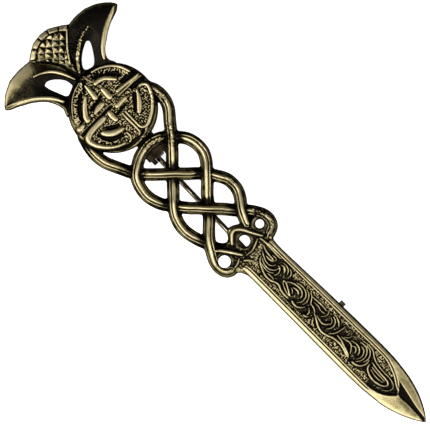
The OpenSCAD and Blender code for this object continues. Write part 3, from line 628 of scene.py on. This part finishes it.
# The stretch of the panel that the foliage fills, which is deep and smooth. The rest is pebbled.
FOLIAGE_OUTLINE = [
    (6.3, 1.9), (8, 2.1), (9.7, 2), (10.3, 2.35), (12, 2.45), (13.4, 2.2), (13.9, 1.4), (15, 1.6), (17, 1.9),
    (20, 1.85), (23, 1.85), (24, 2.15), (25.5, 2.1), (27, 2.1), (28.5, 2.3), (30.5, 2.1), (32, 2.6),
    (33.7, 2.5), (34.9, 1.9), (36, 1.4), (38, 1.2), (40.4, 1.2), (42.2, 0.2), (42.2, -0.6), (40.5, -2.1),
    (39.4, -2.6), (37.6, -2.9), (37, -1.9), (35.5, -1.3), (34.8, -1.7), (33.5, -2.05), (32.3, -2.15),
    (31.5, -1.9), (30, -1.6), (28, -1.3), (26.5, -1.7), (25, -2.15), (23.5, -2), (21.8, -1.5), (21, -2.2),
    (20, -2.25), (19, -2), (17.3, -2.25), (15, -2.15), (13, -1.65), (11.5, -2.15), (10, -2.15), (8.3, -1.5),
    (7.2, -0.8), (6.6, 0.3),
]
WEDGE_OUTLINE = [
    (41.2, 1.8), (42.3, 1.6), (43.5, 1.35), (45, 1), (46.5, 0.68), (48, 0.45), (49.3, 0.3), (50, 0.05),
    (50, -0.3), (49.2, -0.3), (48, -0.15), (46, -0.1), (44.5, -0.1), (43.4, -0.2), (42.6, 0), (42.3, 0.7),
]
BLADE_EDGE_T = 1.5
BLADE_T = 2.15
BEVEL_W = 0.9
PANEL_T = 1.3
# Pitch, radius and seed of the panel's pebbles, and of the foliage's worn spots
PANEL_GRAINS = (0.36, 0.18, 3)
FOLIAGE_SPOTS = (1.5, 0.7, 23)
# Where the blade starts to close into its point, and where the point has a full ridge
POINT_START = 38
POINT_RIDGE = 42.6
WEDGE_DEPTH = 0.5
# A thin line round the panel: its place outside the border, depth and width
LINE_AT = 0.33
LINE_DEPTH = 0.3
LINE_W = 0.09
SCROLL_H = 0.75
# Columns: x, y, width
SCROLL_STEMS = [
    [(7.2, 0.1, 0.2), (7.6, -0.6, 0.3), (8.3, -1.1, 0.36), (9.2, -1.5, 0.4), (10, -1.8, 0.42),
     (10.8, -1.9, 0.42), (11.6, -1.8, 0.42), (12.3, -1.5, 0.42), (12.9, -1.32, 0.42), (13.5, -1.45, 0.42),
     (14.2, -1.75, 0.42), (15, -1.87, 0.42), (16, -1.87, 0.42)],
    [(6.2, 1.8, 0.22), (7, 1.45, 0.3), (8, 1.3, 0.36), (9.1, 1.25, 0.28)],
    [(7.9, 0.8, 0.28), (8.5, 0.75, 0.42), (9.2, 0.9, 0.42), (9.6, 1.3, 0.2)],
    [(7.6, 0, 0.2), (8.3, -0.4, 0.3), (9.2, -0.6, 0.36), (10.1, -0.45, 0.36), (10.8, 0.1, 0.3),
     (11.1, 0.8, 0.2)],
    [(8.1, -0.75, 0.2), (9.2, -1, 0.26), (10.2, -0.95, 0.26), (11, -0.5, 0.2)],
    [(6.6, 1, 0.2), (7.4, 0.5, 0.26), (8.3, 0.1, 0.26), (9.2, 0, 0.22), (9.9, 0.3, 0.22), (10.2, 0.9, 0.18)],
    [(10.9, 1.5, 0.2), (11.5, 1.65, 0.36), (12.05, 1.35, 0.46), (12.35, 0.9, 0.3)],
    [(11, 2.1, 0.2), (11.9, 2.1, 0.28), (12.6, 1.75, 0.28), (12.95, 1.1, 0.2)],
    [(12.5, 2.2, 0.18), (13.2, 1.9, 0.26), (13.55, 1.3, 0.3), (13.5, 0.7, 0.2)],
    [(10.6, 1.1, 0.2), (11.2, 0.95, 0.3), (11.6, 0.4, 0.3), (11.6, -0.2, 0.26), (11.3, -0.7, 0.18)],
    [(10.2, -1.3, 0.2), (11, -1.2, 0.3), (11.8, -1.3, 0.2)],
    [(8.5, 1.7, 0.18), (9.3, 1.75, 0.22), (9.7, 1.5, 0.18)],
    [(13.2, -0.1, 0.26), (13.9, -0.15, 0.36), (14.6, -0.5, 0.36), (15.3, -0.9, 0.36), (16.1, -1.35, 0.26)],
    [(13.3, -0.35, 0.2), (13.9, -0.8, 0.24), (14.8, -1.2, 0.24), (15.8, -1.45, 0.2)],
    [(13.9, 0.15, 0.2), (14.5, 0.55, 0.3), (15.3, 0.85, 0.38), (16.2, 0.95, 0.4), (17, 0.8, 0.36),
     (17.55, 0.3, 0.26), (17.7, -0.3, 0.18)],
    [(15.3, 0.2, 0.2), (15.9, 0.3, 0.36), (16.5, 0.3, 0.44), (16.9, 0, 0.3)],
    [(15.2, -0.1, 0.18), (15.8, -0.4, 0.22), (16.1, -0.8, 0.18)],
    [(15.3, 1.3, 0.2), (16.3, 1.5, 0.28), (17.3, 1.35, 0.3), (18, 0.9, 0.3), (18.35, 0.2, 0.28),
     (18.3, -0.6, 0.26), (17.8, -1.3, 0.18)],
    [(17.3, 1.75, 0.2), (18.2, 1.4, 0.26), (18.8, 0.7, 0.28), (19, -0.1, 0.26), (18.8, -0.8, 0.18)],
    [(18.2, 1.85, 0.18), (18.9, 1.5, 0.26), (19.4, 0.9, 0.28), (19.8, 0.3, 0.18)],
    [(17, -1.75, 0.36), (17.7, -1.9, 0.46), (18.4, -1.8, 0.4), (19, -1.4, 0.36), (19.4, -0.8, 0.2)],
    [(19.2, 1.5, 0.2), (20.3, 1.55, 0.36), (21.5, 1.6, 0.36), (22.8, 1.5, 0.2)],
    [(20, 0.95, 0.18), (21, 1, 0.24), (22, 0.75, 0.24), (22.9, 0.9, 0.18)],
    [(19.8, 0.3, 0.2), (20.5, 0.25, 0.3), (21.2, -0.1, 0.26), (21.6, -0.6, 0.18)],
    [(20, -0.4, 0.2), (20.6, -0.9, 0.3), (20.7, -1.5, 0.2)],
    [(20.2, -2, 0.3), (20.7, -1.95, 0.42), (21.1, -1.7, 0.26)],
    [(21.5, -0.45, 0.2), (22.2, -0.8, 0.36), (23, -1.3, 0.42), (24, -1.75, 0.46), (25, -1.85, 0.46),
     (26, -1.6, 0.46), (27, -1.2, 0.46), (28, -1.05, 0.46), (29, -1.05, 0.46), (30, -1.3, 0.46),
     (30.9, -1.6, 0.44), (31.5, -1.7, 0.36)],
    [(22, -0.35, 0.2), (22.9, -0.6, 0.3), (23.7, -0.7, 0.36), (24.4, -0.35, 0.44), (24.9, 0.25, 0.26)],
    [(24, 2.05, 0.2), (24.9, 1.95, 0.3), (25.7, 1.6, 0.36), (26.4, 1, 0.2)],
    [(24.3, 1.65, 0.2), (25.1, 1.35, 0.3), (25.55, 0.7, 0.32), (25.55, -0.1, 0.3), (25.1, -0.9, 0.2)],
    [(24.1, 1.2, 0.18), (24.7, 0.9, 0.26), (25, 0.4, 0.2)],
    [(23, 1.9, 0.18), (23.3, 1.3, 0.22), (23.2, 0.6, 0.22), (22.8, 0.1, 0.18)],
    [(27.2, 1.9, 0.2), (27.1, 1, 0.3), (26.9, 0.2, 0.3), (26.5, -0.6, 0.3), (25.9, -1.1, 0.18)],
    [(27.3, -0.3, 0.26), (28.3, -0.4, 0.36), (29.3, -0.7, 0.36), (30.2, -1, 0.3), (31.3, -1.4, 0.2)],
    [(28, 0.05, 0.2), (28.9, 0.2, 0.3), (29.8, 0.4, 0.36), (30.4, 0.15, 0.3), (30.9, -0.4, 0.26),
     (31.3, -1, 0.18)],
    [(28.4, 0.4, 0.18), (29, 0.8, 0.22), (29.3, 1.4, 0.18)],
    [(29.8, 0.8, 0.2), (30.6, 1.05, 0.3), (31.5, 0.95, 0.36), (32.2, 0.5, 0.3), (32.5, -0.2, 0.2)],
    [(30.6, 0.3, 0.2), (31.1, 0.5, 0.28), (31.6, 0.2, 0.28), (31.8, -0.3, 0.18)],
    [(31.1, 1.8, 0.2), (32, 1.95, 0.28), (32.9, 1.7, 0.3), (33.5, 1, 0.3), (33.7, 0.2, 0.3),
     (33.5, -0.7, 0.28), (33, -1.3, 0.18)],
    [(31.8, 1.4, 0.18), (32.6, 1.2, 0.26), (33.1, 0.5, 0.26), (33.1, -0.3, 0.24), (32.8, -0.9, 0.18)],
    [(32.4, 2.2, 0.2), (33.4, 2, 0.26), (34.1, 1.3, 0.28), (34.3, 0.4, 0.26), (34.1, -0.4, 0.18)],
    [(31.3, 2.3, 0.2), (32.5, 2.5, 0.26), (33.8, 2.35, 0.28), (34.7, 1.75, 0.3), (35.6, 1.3, 0.28),
     (36.8, 1.05, 0.26), (38.2, 0.95, 0.26), (39.8, 0.9, 0.26), (40.9, 0.5, 0.24), (41.3, -0.1, 0.22),
     (41, -0.9, 0.22), (40.1, -1.6, 0.18)],
    [(32.6, -1.8, 0.42), (33.3, -1.75, 0.46), (34, -1.4, 0.42), (34.5, -0.8, 0.36), (34.7, -0.1, 0.3),
     (34.6, 0.6, 0.2)],
    [(35.3, 0.7, 0.26), (36.3, 0.5, 0.36), (37.5, 0.38, 0.36), (38.8, 0.32, 0.36), (39.8, 0.15, 0.36),
     (40.2, -0.3, 0.36), (39.8, -0.85, 0.36), (39, -1.25, 0.38), (38, -1.45, 0.42), (37, -1.4, 0.42),
     (36.1, -1.1, 0.38), (35.4, -0.6, 0.36), (35.15, 0.1, 0.3)],
    [(35.8, 0.1, 0.18), (36.9, -0.05, 0.26), (38.2, -0.08, 0.28), (39.3, -0.15, 0.2)],
    [(36, -0.4, 0.18), (37.1, -0.65, 0.26), (38.3, -0.7, 0.26), (39.3, -0.5, 0.18)],
    [(21.8, -1.1, 0.2), (22.3, -1.7, 0.26), (22.5, -2, 0.2)],
]


def across(x, edge):
    """The y of a blade's edge at each x."""
    line = spline(edge)
    return np.interp(x, line[:, 0], line[:, 1])


def lined(x, y):
    """1 where a thin line goes round the blade's panel, and 0 at its end, where the panel runs out."""
    return 1 - ease((x - 37.5) / 1.5) * ease((1.2 - y) / 0.8)


def blade(relief):
    upper, lower = spline(BLADE_UPPER), spline(BLADE_LOWER)
    outline = np.vstack([upper, lower[::-1]])
    panel = spline([*PANEL_OUTLINE, PANEL_OUTLINE[0]])
    wedge = np.array(WEDGE_OUTLINE)
    foliage = np.array(FOLIAGE_OUTLINE)

    def height(x, y, _inside):
        top, bottom = across(x, BLADE_UPPER), across(x, BLADE_LOWER)
        middle, half = (top + bottom) / 2, np.maximum((top - bottom) / 2, 0.02)
        side = (y - middle) / half
        flat = np.clip(1 - BEVEL_W / half, 0, 1) * (1 - ease((x - POINT_START) / (POINT_RIDGE - POINT_START)))
        rise = np.clip((1 - np.abs(side)) / (1 - flat), 0, 1)
        crest = BLADE_T - (BLADE_T - BLADE_EDGE_T - 0.1) * ease((x - POINT_RIDGE) / (TIP_X + 3 - POINT_RIDGE))
        z = BLADE_EDGE_T + (crest - BLADE_EDGE_T) * np.interp(rise, (0, 0.2, 1), (0, 0.4, 1))
        # A sunk wedge beside the ridge of the point
        z -= WEDGE_DEPTH * ease(0.3 - to_outline(x, y, wedge) / 0.25)
        border = to_outline(x, y, panel)
        z -= LINE_DEPTH * np.exp(-(((border - LINE_AT) / LINE_W) ** 2)) * lined(x, y)
        sunk = ease(-border / 0.2)
        pebbled = ease(to_outline(x, y, foliage) / 0.15)
        grains = pebbles(x, y, *PANEL_GRAINS)
        ground = PANEL_T - 0.15 + 0.12 * grains + pebbled * (0.3 + 0.2 * grains)
        return z + (ground - z) * sunk

    def line_patina_and_highlight(x, y, inside):
        # The line is black, and a painted highlight runs between it and the panel on the upper side.
        black = 0.7 * np.exp(-(((inside + LINE_AT) / 0.1) ** 2))
        painted_line_highlight = 0.3 * ease(y + 1) * np.exp(-(((inside + 0.15) / 0.08) ** 2))
        return (black - painted_line_highlight) * lined(x, y)

    def upper_edge_shade(x, y, inside):
        # The upper edge is painted black as shade, ever wider towards the point, and the bevel beside it is
        # painted a little darker as shade.
        shade_w = np.interp(x, (8, 26), (0.2, 0.48))
        edge_shade = 0.7 * ease((shade_w - inside) / 0.15) + 0.08 * ease((1.1 - inside) / 0.2)
        return edge_shade * ease(y) * ease((x - 8) / 8)

    relief.lay(outline, height, wall=0.2, rim=0.7, blend=0.1)
    relief.darken(panel, lambda x, y, _inside: 0.25 - 0.65 * pebbles(x, y, *PANEL_GRAINS), 0.2)
    relief.darken(panel, line_patina_and_highlight, 0.1, grow=0.6)
    relief.darken(foliage, 0.5, 0.2)
    relief.darken(wedge, 0.6, 0.35, grow=0.2)
    relief.darken(outline, upper_edge_shade, 0.1)
    # The point has painted shade, a little all over and more below its ridge.
    shade_below_ridge = ease(1 + relief.y / 1.5) * ease(-relief.y / 0.2)
    relief.tarnish_and_shade += (0.04 + 0.35 * shade_below_ridge) * ease((relief.x - POINT_START - 2) / 2)
    for ridge in SCROLL_STEMS:
        relief.ridge([(x, y, 1.15 * wide) for x, y, wide in ridge], PANEL_T - 0.15, SCROLL_H)
    # The foliage is worn unevenly.
    relief.darken(foliage, lambda x, y, _inside: 0.5 * pebbles(x, y, *FOLIAGE_SPOTS) - 0.1, 0.2)


# Least height inside the outline, and the blur that softens all edges
FLOOR_T = 0.45
SOFTNESS = 0.055


def casting(x0, x1, step):
    """All of the casting's relief over a stretch of x, on a grid of that step."""
    relief = Relief(x0, x1, cast_low[1] / MM - 0.5, cast_high[1] / MM + 0.5, step)
    relief.lay(np.array(THROAT_OUTLINE), 0.9)
    crown(relief)
    for side in LEAF_OUTLINES:
        leaf(relief, side)
    boss(relief)
    plait(relief)
    guard(relief)
    blade(relief)
    for x, y, hole, _rim in EYELETS:
        relief.cut(ring_outline(x, y, hole))
    relief.top = np.maximum(relief.top, np.where(relief.out < 0, FLOOR_T, 0))
    relief.top = gauss(relief.top, SOFTNESS / step)
    return relief


# How dark flat metal is, what hollows and ridges change of that, and how dark walls, edges and the back are.
# Walls and edges are darkened both as patina and as painted shade.
FLAT_DARK = 0.385
HOLLOW_DARK = 0.55
WALL_DARK = 0.4
EDGE_DARK = 0.5
BACK_DARK = 0.55


def patina_and_shade(relief):
    """How dark each place is, from 0 on worn ridges to 1 in the hollows, as patina and painted shade."""
    z = relief.top
    narrow = gauss(z, 0.16 / relief.step) - z
    broad = gauss(z, 0.5 / relief.step) - z
    hollow = np.clip(6 * narrow + 1.5 * broad, -1, 1)
    gy, gx = np.gradient(z, relief.step)
    # Steep walls and the edges round the outline are darker: patina that stays there, and painted shade.
    wall = WALL_DARK * ease((np.hypot(gx, gy) - 0.9) / 1.4)
    edge = EDGE_DARK * (1 - ease(-relief.out / 0.3))
    dark = np.clip(FLAT_DARK + relief.tarnish_and_shade + HOLLOW_DARK * hollow, 0, 1)
    return 1 - (1 - dark) * (1 - wall) * (1 - edge)


def sample(relief, field, x, y):
    """The field's value between the grid's points."""
    j = (x - relief.x[0, 0]) / relief.step
    i = (y - relief.y[0, 0]) / relief.step
    j0 = np.clip(np.floor(j).astype(int), 0, field.shape[1] - 2)
    i0 = np.clip(np.floor(i).astype(int), 0, field.shape[0] - 2)
    fj, fi = j - j0, i - i0
    near = field[i0, j0] * (1 - fj) + field[i0, j0 + 1] * fj
    far = field[i0 + 1, j0] * (1 - fj) + field[i0 + 1, j0 + 1] * fj
    return near * (1 - fi) + far * fi


def top_faces(keep, top):
    """Triangles over the kept points of a grid, cut along the flatter diagonal, and which points they use."""
    cell = keep[:-1, :-1] & keep[1:, :-1] & keep[:-1, 1:] & keep[1:, 1:]
    used = np.zeros(keep.shape, dtype=bool)
    for di, dj in ((0, 0), (0, 1), (1, 0), (1, 1)):
        used[di : di + cell.shape[0], dj : dj + cell.shape[1]] |= cell
    number = np.full(keep.shape, -1)
    number[used] = np.arange(used.sum())
    z = top[used]
    i, j = np.nonzero(cell)
    a, b, c, d = number[i, j], number[i, j + 1], number[i + 1, j + 1], number[i + 1, j]
    short = (np.abs(z[a] - z[c]) <= np.abs(z[b] - z[d]))[:, None]
    first = np.where(short, np.stack([a, b, c], 1), np.stack([a, b, d], 1))
    second = np.where(short, np.stack([a, c, d], 1), np.stack([b, c, d], 1))
    return np.vstack([first, second]), used


def border_edges(faces, count):
    """The edges that belong to one triangle only, where the mesh has that many points."""
    edges = np.vstack([faces[:, [0, 1]], faces[:, [1, 2]], faces[:, [2, 0]]])
    key = edges.min(1) * count + edges.max(1)
    _, where, uses = np.unique(key, return_index=True, return_counts=True)
    return edges[where[uses == 1]]


def snap(relief, out, x, y):
    """Points near the outline, moved onto it. out is the distance to the outline."""
    gy, gx = np.gradient(out, relief.step)
    for _ in range(3):
        d = sample(relief, out, x, y)
        nx, ny = sample(relief, gx, x, y), sample(relief, gy, x, y)
        size = np.maximum(np.hypot(nx, ny), 0.5)
        move = np.clip(d, -relief.step, relief.step) / size
        x, y = x - nx / size * move, y - ny / size * move
    return x, y


def back_faces(relief, out, points, edges):
    """Triangles of a flat back between the border's points, which the edges join."""
    found = delaunay_2d_cdt(points.tolist(), edges.tolist(), [], 0, 1e-5)
    flat_points, triangles, source = np.array(found[0]), np.array(found[2]), found[3]
    centre = flat_points[triangles].mean(1)
    triangles = triangles[sample(relief, out, centre[:, 0], centre[:, 1]) < 0.2 * relief.step]
    # A point that is added where two border edges touch stands for the border point nearest to it.
    origin = [s[0] if s else np.hypot(*(points - p).T).argmin() for s, p in zip(source, flat_points)]
    return np.array(origin)[triangles][:, ::-1]


def to_piece(relief, name, cut_from=-math.inf, cut_to=math.inf):
    """The relief between two cuts as a closed mesh: its top, drafted walls and a flat back."""
    out = np.maximum(relief.out, np.maximum(cut_from - relief.x, relief.x - cut_to))
    faces, used = top_faces(out < 0.3 * relief.step, relief.top)
    x, y, z = relief.x[used], relief.y[used], relief.top[used]
    top_count = len(x)
    border = border_edges(faces, top_count)
    rim = np.unique(border)
    x[rim], y[rim] = snap(relief, out, x[rim], y[rim])
    z[rim] = np.minimum(z[rim], sample(relief, relief.top, x[rim], y[rim]))

    # Each point of the border has one below it on the back.
    place = np.full(top_count, -1)
    place[rim] = np.arange(len(rim))
    shade_below_ridge = top_count + place[border]
    first, last = border.T
    first_below, last_below = shade_below_ridge.T
    walls = [np.stack([last, first, first_below], 1), np.stack([last, first_below, last_below], 1)]
    back = top_count + back_faces(relief, out, np.stack([x[rim], y[rim]], 1), place[border])
    x, y, z = np.append(x, x[rim]), np.append(y, y[rim]), np.append(BACK + z, np.full(len(rim), BACK))
    points = np.stack([x, y, z], 1) * MM
    mesh = bpy.data.meshes.new(name)
    mesh.from_pydata(points.tolist(), [], np.vstack([faces, *walls, back]).tolist())

    dark = np.where(np.arange(len(x)) < top_count, sample(relief, patina_and_shade(relief), x, y), BACK_DARK)
    layer = mesh.attributes.new("patina_and_shade", "FLOAT", "POINT")
    layer.data.foreach_set("value", dark.astype(np.float32))
    # The back is flat and sharp-edged, and all else is smooth.
    mesh.shade_smooth()
    ends = np.zeros(2 * len(mesh.edges), dtype=int)
    mesh.edges.foreach_get("vertices", ends)
    sharp = (ends.reshape(-1, 2) >= top_count).all(1)
    mesh.attributes.new("sharp_edge", "BOOLEAN", "EDGE").data.foreach_set("value", sharp)
    piece = bpy.data.objects.new(name, mesh)
    bpy.context.scene.collection.objects.link(piece)
    return piece


# Materials. Scales of noise are for a place in metres.

BLOTCH_SCALE = 900
MOTTLE_SCALE = 2600
GRAIN_SCALE = 5200
# Colours of the brass from bright to black. Columns: place, red, green, blue
BRASS_TONES = [
    (0.0, 0.78, 0.665, 0.39), (0.3, 0.54, 0.455, 0.225), (0.5, 0.25, 0.21, 0.098),
    (0.68, 0.063, 0.053, 0.026), (0.9, 0.012, 0.01, 0.008),
]


def nodes_of(name):
    """A new material with its node tree, shader and the output for the place on the object."""
    material = bpy.data.materials.new(name)
    material.use_nodes = True
    tree = material.node_tree
    shader = tree.nodes["Principled BSDF"]
    place = tree.nodes.new("ShaderNodeTexCoord")
    return material, tree, shader, place.outputs["Object"]


def noise(tree, place, scale, detail, roughness):
    node = tree.nodes.new("ShaderNodeTexNoise")
    node.inputs["Scale"].default_value = scale
    node.inputs["Detail"].default_value = detail
    node.inputs["Roughness"].default_value = roughness
    tree.links.new(place, node.inputs["Vector"])
    return node.outputs["Fac"]


def math_node(tree, operation, a, b, clamp=False):
    node = tree.nodes.new("ShaderNodeMath")
    node.operation = operation
    node.use_clamp = clamp
    for socket, value in zip(node.inputs, (a, b)):
        if isinstance(value, (int, float)):
            socket.default_value = value
        else:
            tree.links.new(value, socket)
    return node.outputs["Value"]


def around_zero(tree, value, span):
    """A noise's value, moved to lie around 0, over that span."""
    return math_node(tree, "MULTIPLY", math_node(tree, "SUBTRACT", value, 0.5), span)


def ramp(tree, value, stops):
    """Colours along a value. Each stop is (place, red, green, blue)."""
    node = tree.nodes.new("ShaderNodeValToRGB")
    while len(node.color_ramp.elements) < len(stops):
        node.color_ramp.elements.new(0.5)
    for element, (place, *colour) in zip(node.color_ramp.elements, stops):
        element.position = place
        element.color = (*colour, 1)
    tree.links.new(value, node.inputs["Fac"])
    return node.outputs["Color"]


def bump(tree, shader, height, distance, strength):
    """Bumps the shader by a height, for grain too fine for the mesh."""
    node = tree.nodes.new("ShaderNodeBump")
    node.inputs["Strength"].default_value = strength
    node.inputs["Distance"].default_value = distance
    tree.links.new(height, node.inputs["Height"])
    tree.links.new(node.outputs["Normal"], shader.inputs["Normal"])


def cast_brass():
    """Brass with a black patina in its hollows, rubbed bright on what stands up, and with the shade and
    highlights painted into its darkness attribute.
    """
    material, tree, shader, place = nodes_of("worn antique brass with painted shade")
    patina_and_shade_node = tree.nodes.new("ShaderNodeAttribute")
    patina_and_shade_node.attribute_name = "patina_and_shade"
    blotch = noise(tree, place, BLOTCH_SCALE, 3, 0.6)
    grain = noise(tree, place, GRAIN_SCALE, 2, 0.6)
    dark = math_node(tree, "ADD", patina_and_shade_node.outputs["Fac"], around_zero(tree, blotch, 0.45))
    mottle = around_zero(tree, noise(tree, place, MOTTLE_SCALE, 2, 0.6), 0.5)
    dark = math_node(tree, "ADD", dark, math_node(tree, "MULTIPLY", patina_and_shade_node.outputs["Fac"], mottle))
    dark = math_node(tree, "ADD", dark, around_zero(tree, grain, 0.4), clamp=True)
    tree.links.new(ramp(tree, dark, BRASS_TONES), shader.inputs["Base Color"])
    shader.inputs["Metallic"].default_value = 1
    shader.inputs["Specular Tint"].default_value = (0.2, 0.17, 0.12, 1)
    rough = math_node(tree, "ADD", math_node(tree, "MULTIPLY", dark, 0.05), 0.46)
    rough = math_node(tree, "ADD", rough, around_zero(tree, grain, 0.25), clamp=True)
    tree.links.new(rough, shader.inputs["Roughness"])
    bump(tree, shader, noise(tree, place, 3800, 3, 0.65), 0.00005, 0.7)
    return material


def plain_metal(name, light, dark, roughness, grain=0.5):
    """A metal of two tones in soft patches, with a fine grain of that strength."""
    material, tree, shader, place = nodes_of(name)
    patches = noise(tree, place, 700, 3, 0.6)
    tree.links.new(ramp(tree, patches, [(0.35, *dark), (0.65, *light)]), shader.inputs["Base Color"])
    shader.inputs["Metallic"].default_value = 1
    rough = math_node(tree, "ADD", math_node(tree, "MULTIPLY", patches, 0.2), roughness - 0.1)
    tree.links.new(rough, shader.inputs["Roughness"])
    bump(tree, shader, noise(tree, place, 4200, 2, 0.6), 0.00003, grain)
    return material


brass = cast_brass()
dull_brass = plain_metal("dull brass", (0.42, 0.33, 0.16), (0.2, 0.155, 0.08), 0.42)
dark_brass = plain_metal("dark brass", (0.08, 0.064, 0.036), (0.02, 0.016, 0.01), 0.4)
steel = plain_metal("pin steel", (0.66, 0.61, 0.48), (0.52, 0.47, 0.36), 0.16, 0.04)

for node, material in {
    "cast_body": brass,
    "hinge_bracket": dark_brass,
    "hinge_rivet": dark_brass,
    "catch_housing": dark_brass,
    "catch_rotor": dull_brass,
    "pin_stem": steel,
}.items():
    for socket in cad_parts[node].material_slots:
        socket.material = material

# Grid steps, and how far the relief goes past the seam
HEAD_STEP = 0.0925
BLADE_STEP = 0.075
OVERLAP = 1.2
head = to_piece(casting(RIM_X - 1, SEAM_X + OVERLAP, HEAD_STEP), "thistle_and_plait", cut_to=SEAM_X)
sword = to_piece(casting(SEAM_X - OVERLAP, TIP_X + 1, BLADE_STEP), "sword_blade", cut_from=SEAM_X)
for piece in (head, sword):
    piece.data.materials.append(brass)
    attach(piece, "brooch")
    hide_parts("cast_body")


# Floor, light and camera

bpy.ops.mesh.primitive_plane_add(size=3, location=(0, 0, 0))
floor = bpy.context.object
floor.name = "floor"
paper, _, paper_shader, _ = nodes_of("white paper")
paper_shader.inputs["Base Color"].default_value = (0.93, 0.93, 0.93, 1)
paper_shader.inputs["Roughness"].default_value = 0.9
paper_shader.inputs["Emission Color"].default_value = (1, 1, 1, 1)
paper_shader.inputs["Emission Strength"].default_value = 0.85
floor.data.materials.append(paper)
# The paper lights the brooch, but isn't mirrored in its polished slopes.
floor.visible_glossy = False


LAMP_DISTANCE = 0.5


def area_light(name, size, power, direction):
    """A square lamp that shines on the brooch from that direction."""
    lamp = bpy.data.lights.new(name, "AREA")
    lamp.size = size
    lamp.energy = power
    holder = bpy.data.objects.new(name, lamp)
    bpy.context.scene.collection.objects.link(holder)
    aim = Vector(direction).normalized()
    holder.location = aim * LAMP_DISTANCE
    holder.rotation_euler = aim.to_track_quat("Z", "Y").to_euler()


area_light("key", 0.3, 1.66, (0.1, -0.65, 1))
area_light("back", 0.25, 0.3, (0.8, 1, 0.9))
area_light("left", 0.25, 0.85, (-0.65, -0.8, 0.75))
area_light("right", 0.25, 0.8, (0.9, 0.3, 0.8))

world = bpy.data.worlds.new("studio")
bpy.context.scene.world = world
world.use_nodes = True
sky = world.node_tree
# The studio glows a little from the picture's lower left, as low as the table's edge, and is dark elsewhere.
direction = sky.nodes.new("ShaderNodeTexCoord")
toward = sky.nodes.new("ShaderNodeVectorMath")
toward.operation = "DOT_PRODUCT"
toward.inputs[1].default_value = (0.15, -0.85, -0.5)
sky.links.new(direction.outputs["Generated"], toward.inputs[0])
glow_tones = [(0.0, 0.02, 0.02, 0.02), (0.35, 0.12, 0.12, 0.12), (0.9, 0.6, 0.6, 0.6)]
glow = ramp(sky, toward.outputs["Value"], glow_tones)
sky.links.new(glow, sky.nodes["Background"].inputs["Color"])

# The picture's side and its middle, measured on the brooch's front, and the camera's height over that
PICTURE_SIDE = 78.5 * MM
PICTURE_MIDDLE = (-4.07 * MM, -0.55 * MM)
FRONT = (BACK + 2) * MM
CAMERA_HEIGHT = 0.6
camera_data = bpy.data.cameras.new("camera")
camera = bpy.data.objects.new("camera", camera_data)
bpy.context.scene.collection.objects.link(camera)
camera_data.sensor_width = 36
camera_data.lens = camera_data.sensor_width * CAMERA_HEIGHT / PICTURE_SIDE
camera.location = (*PICTURE_MIDDLE, CAMERA_HEIGHT + FRONT)
camera.rotation_euler = (0, 0, math.radians(45))
camera_data.clip_end = 10
bpy.context.scene.camera = camera
bpy.context.scene.view_settings.view_transform = "Standard"
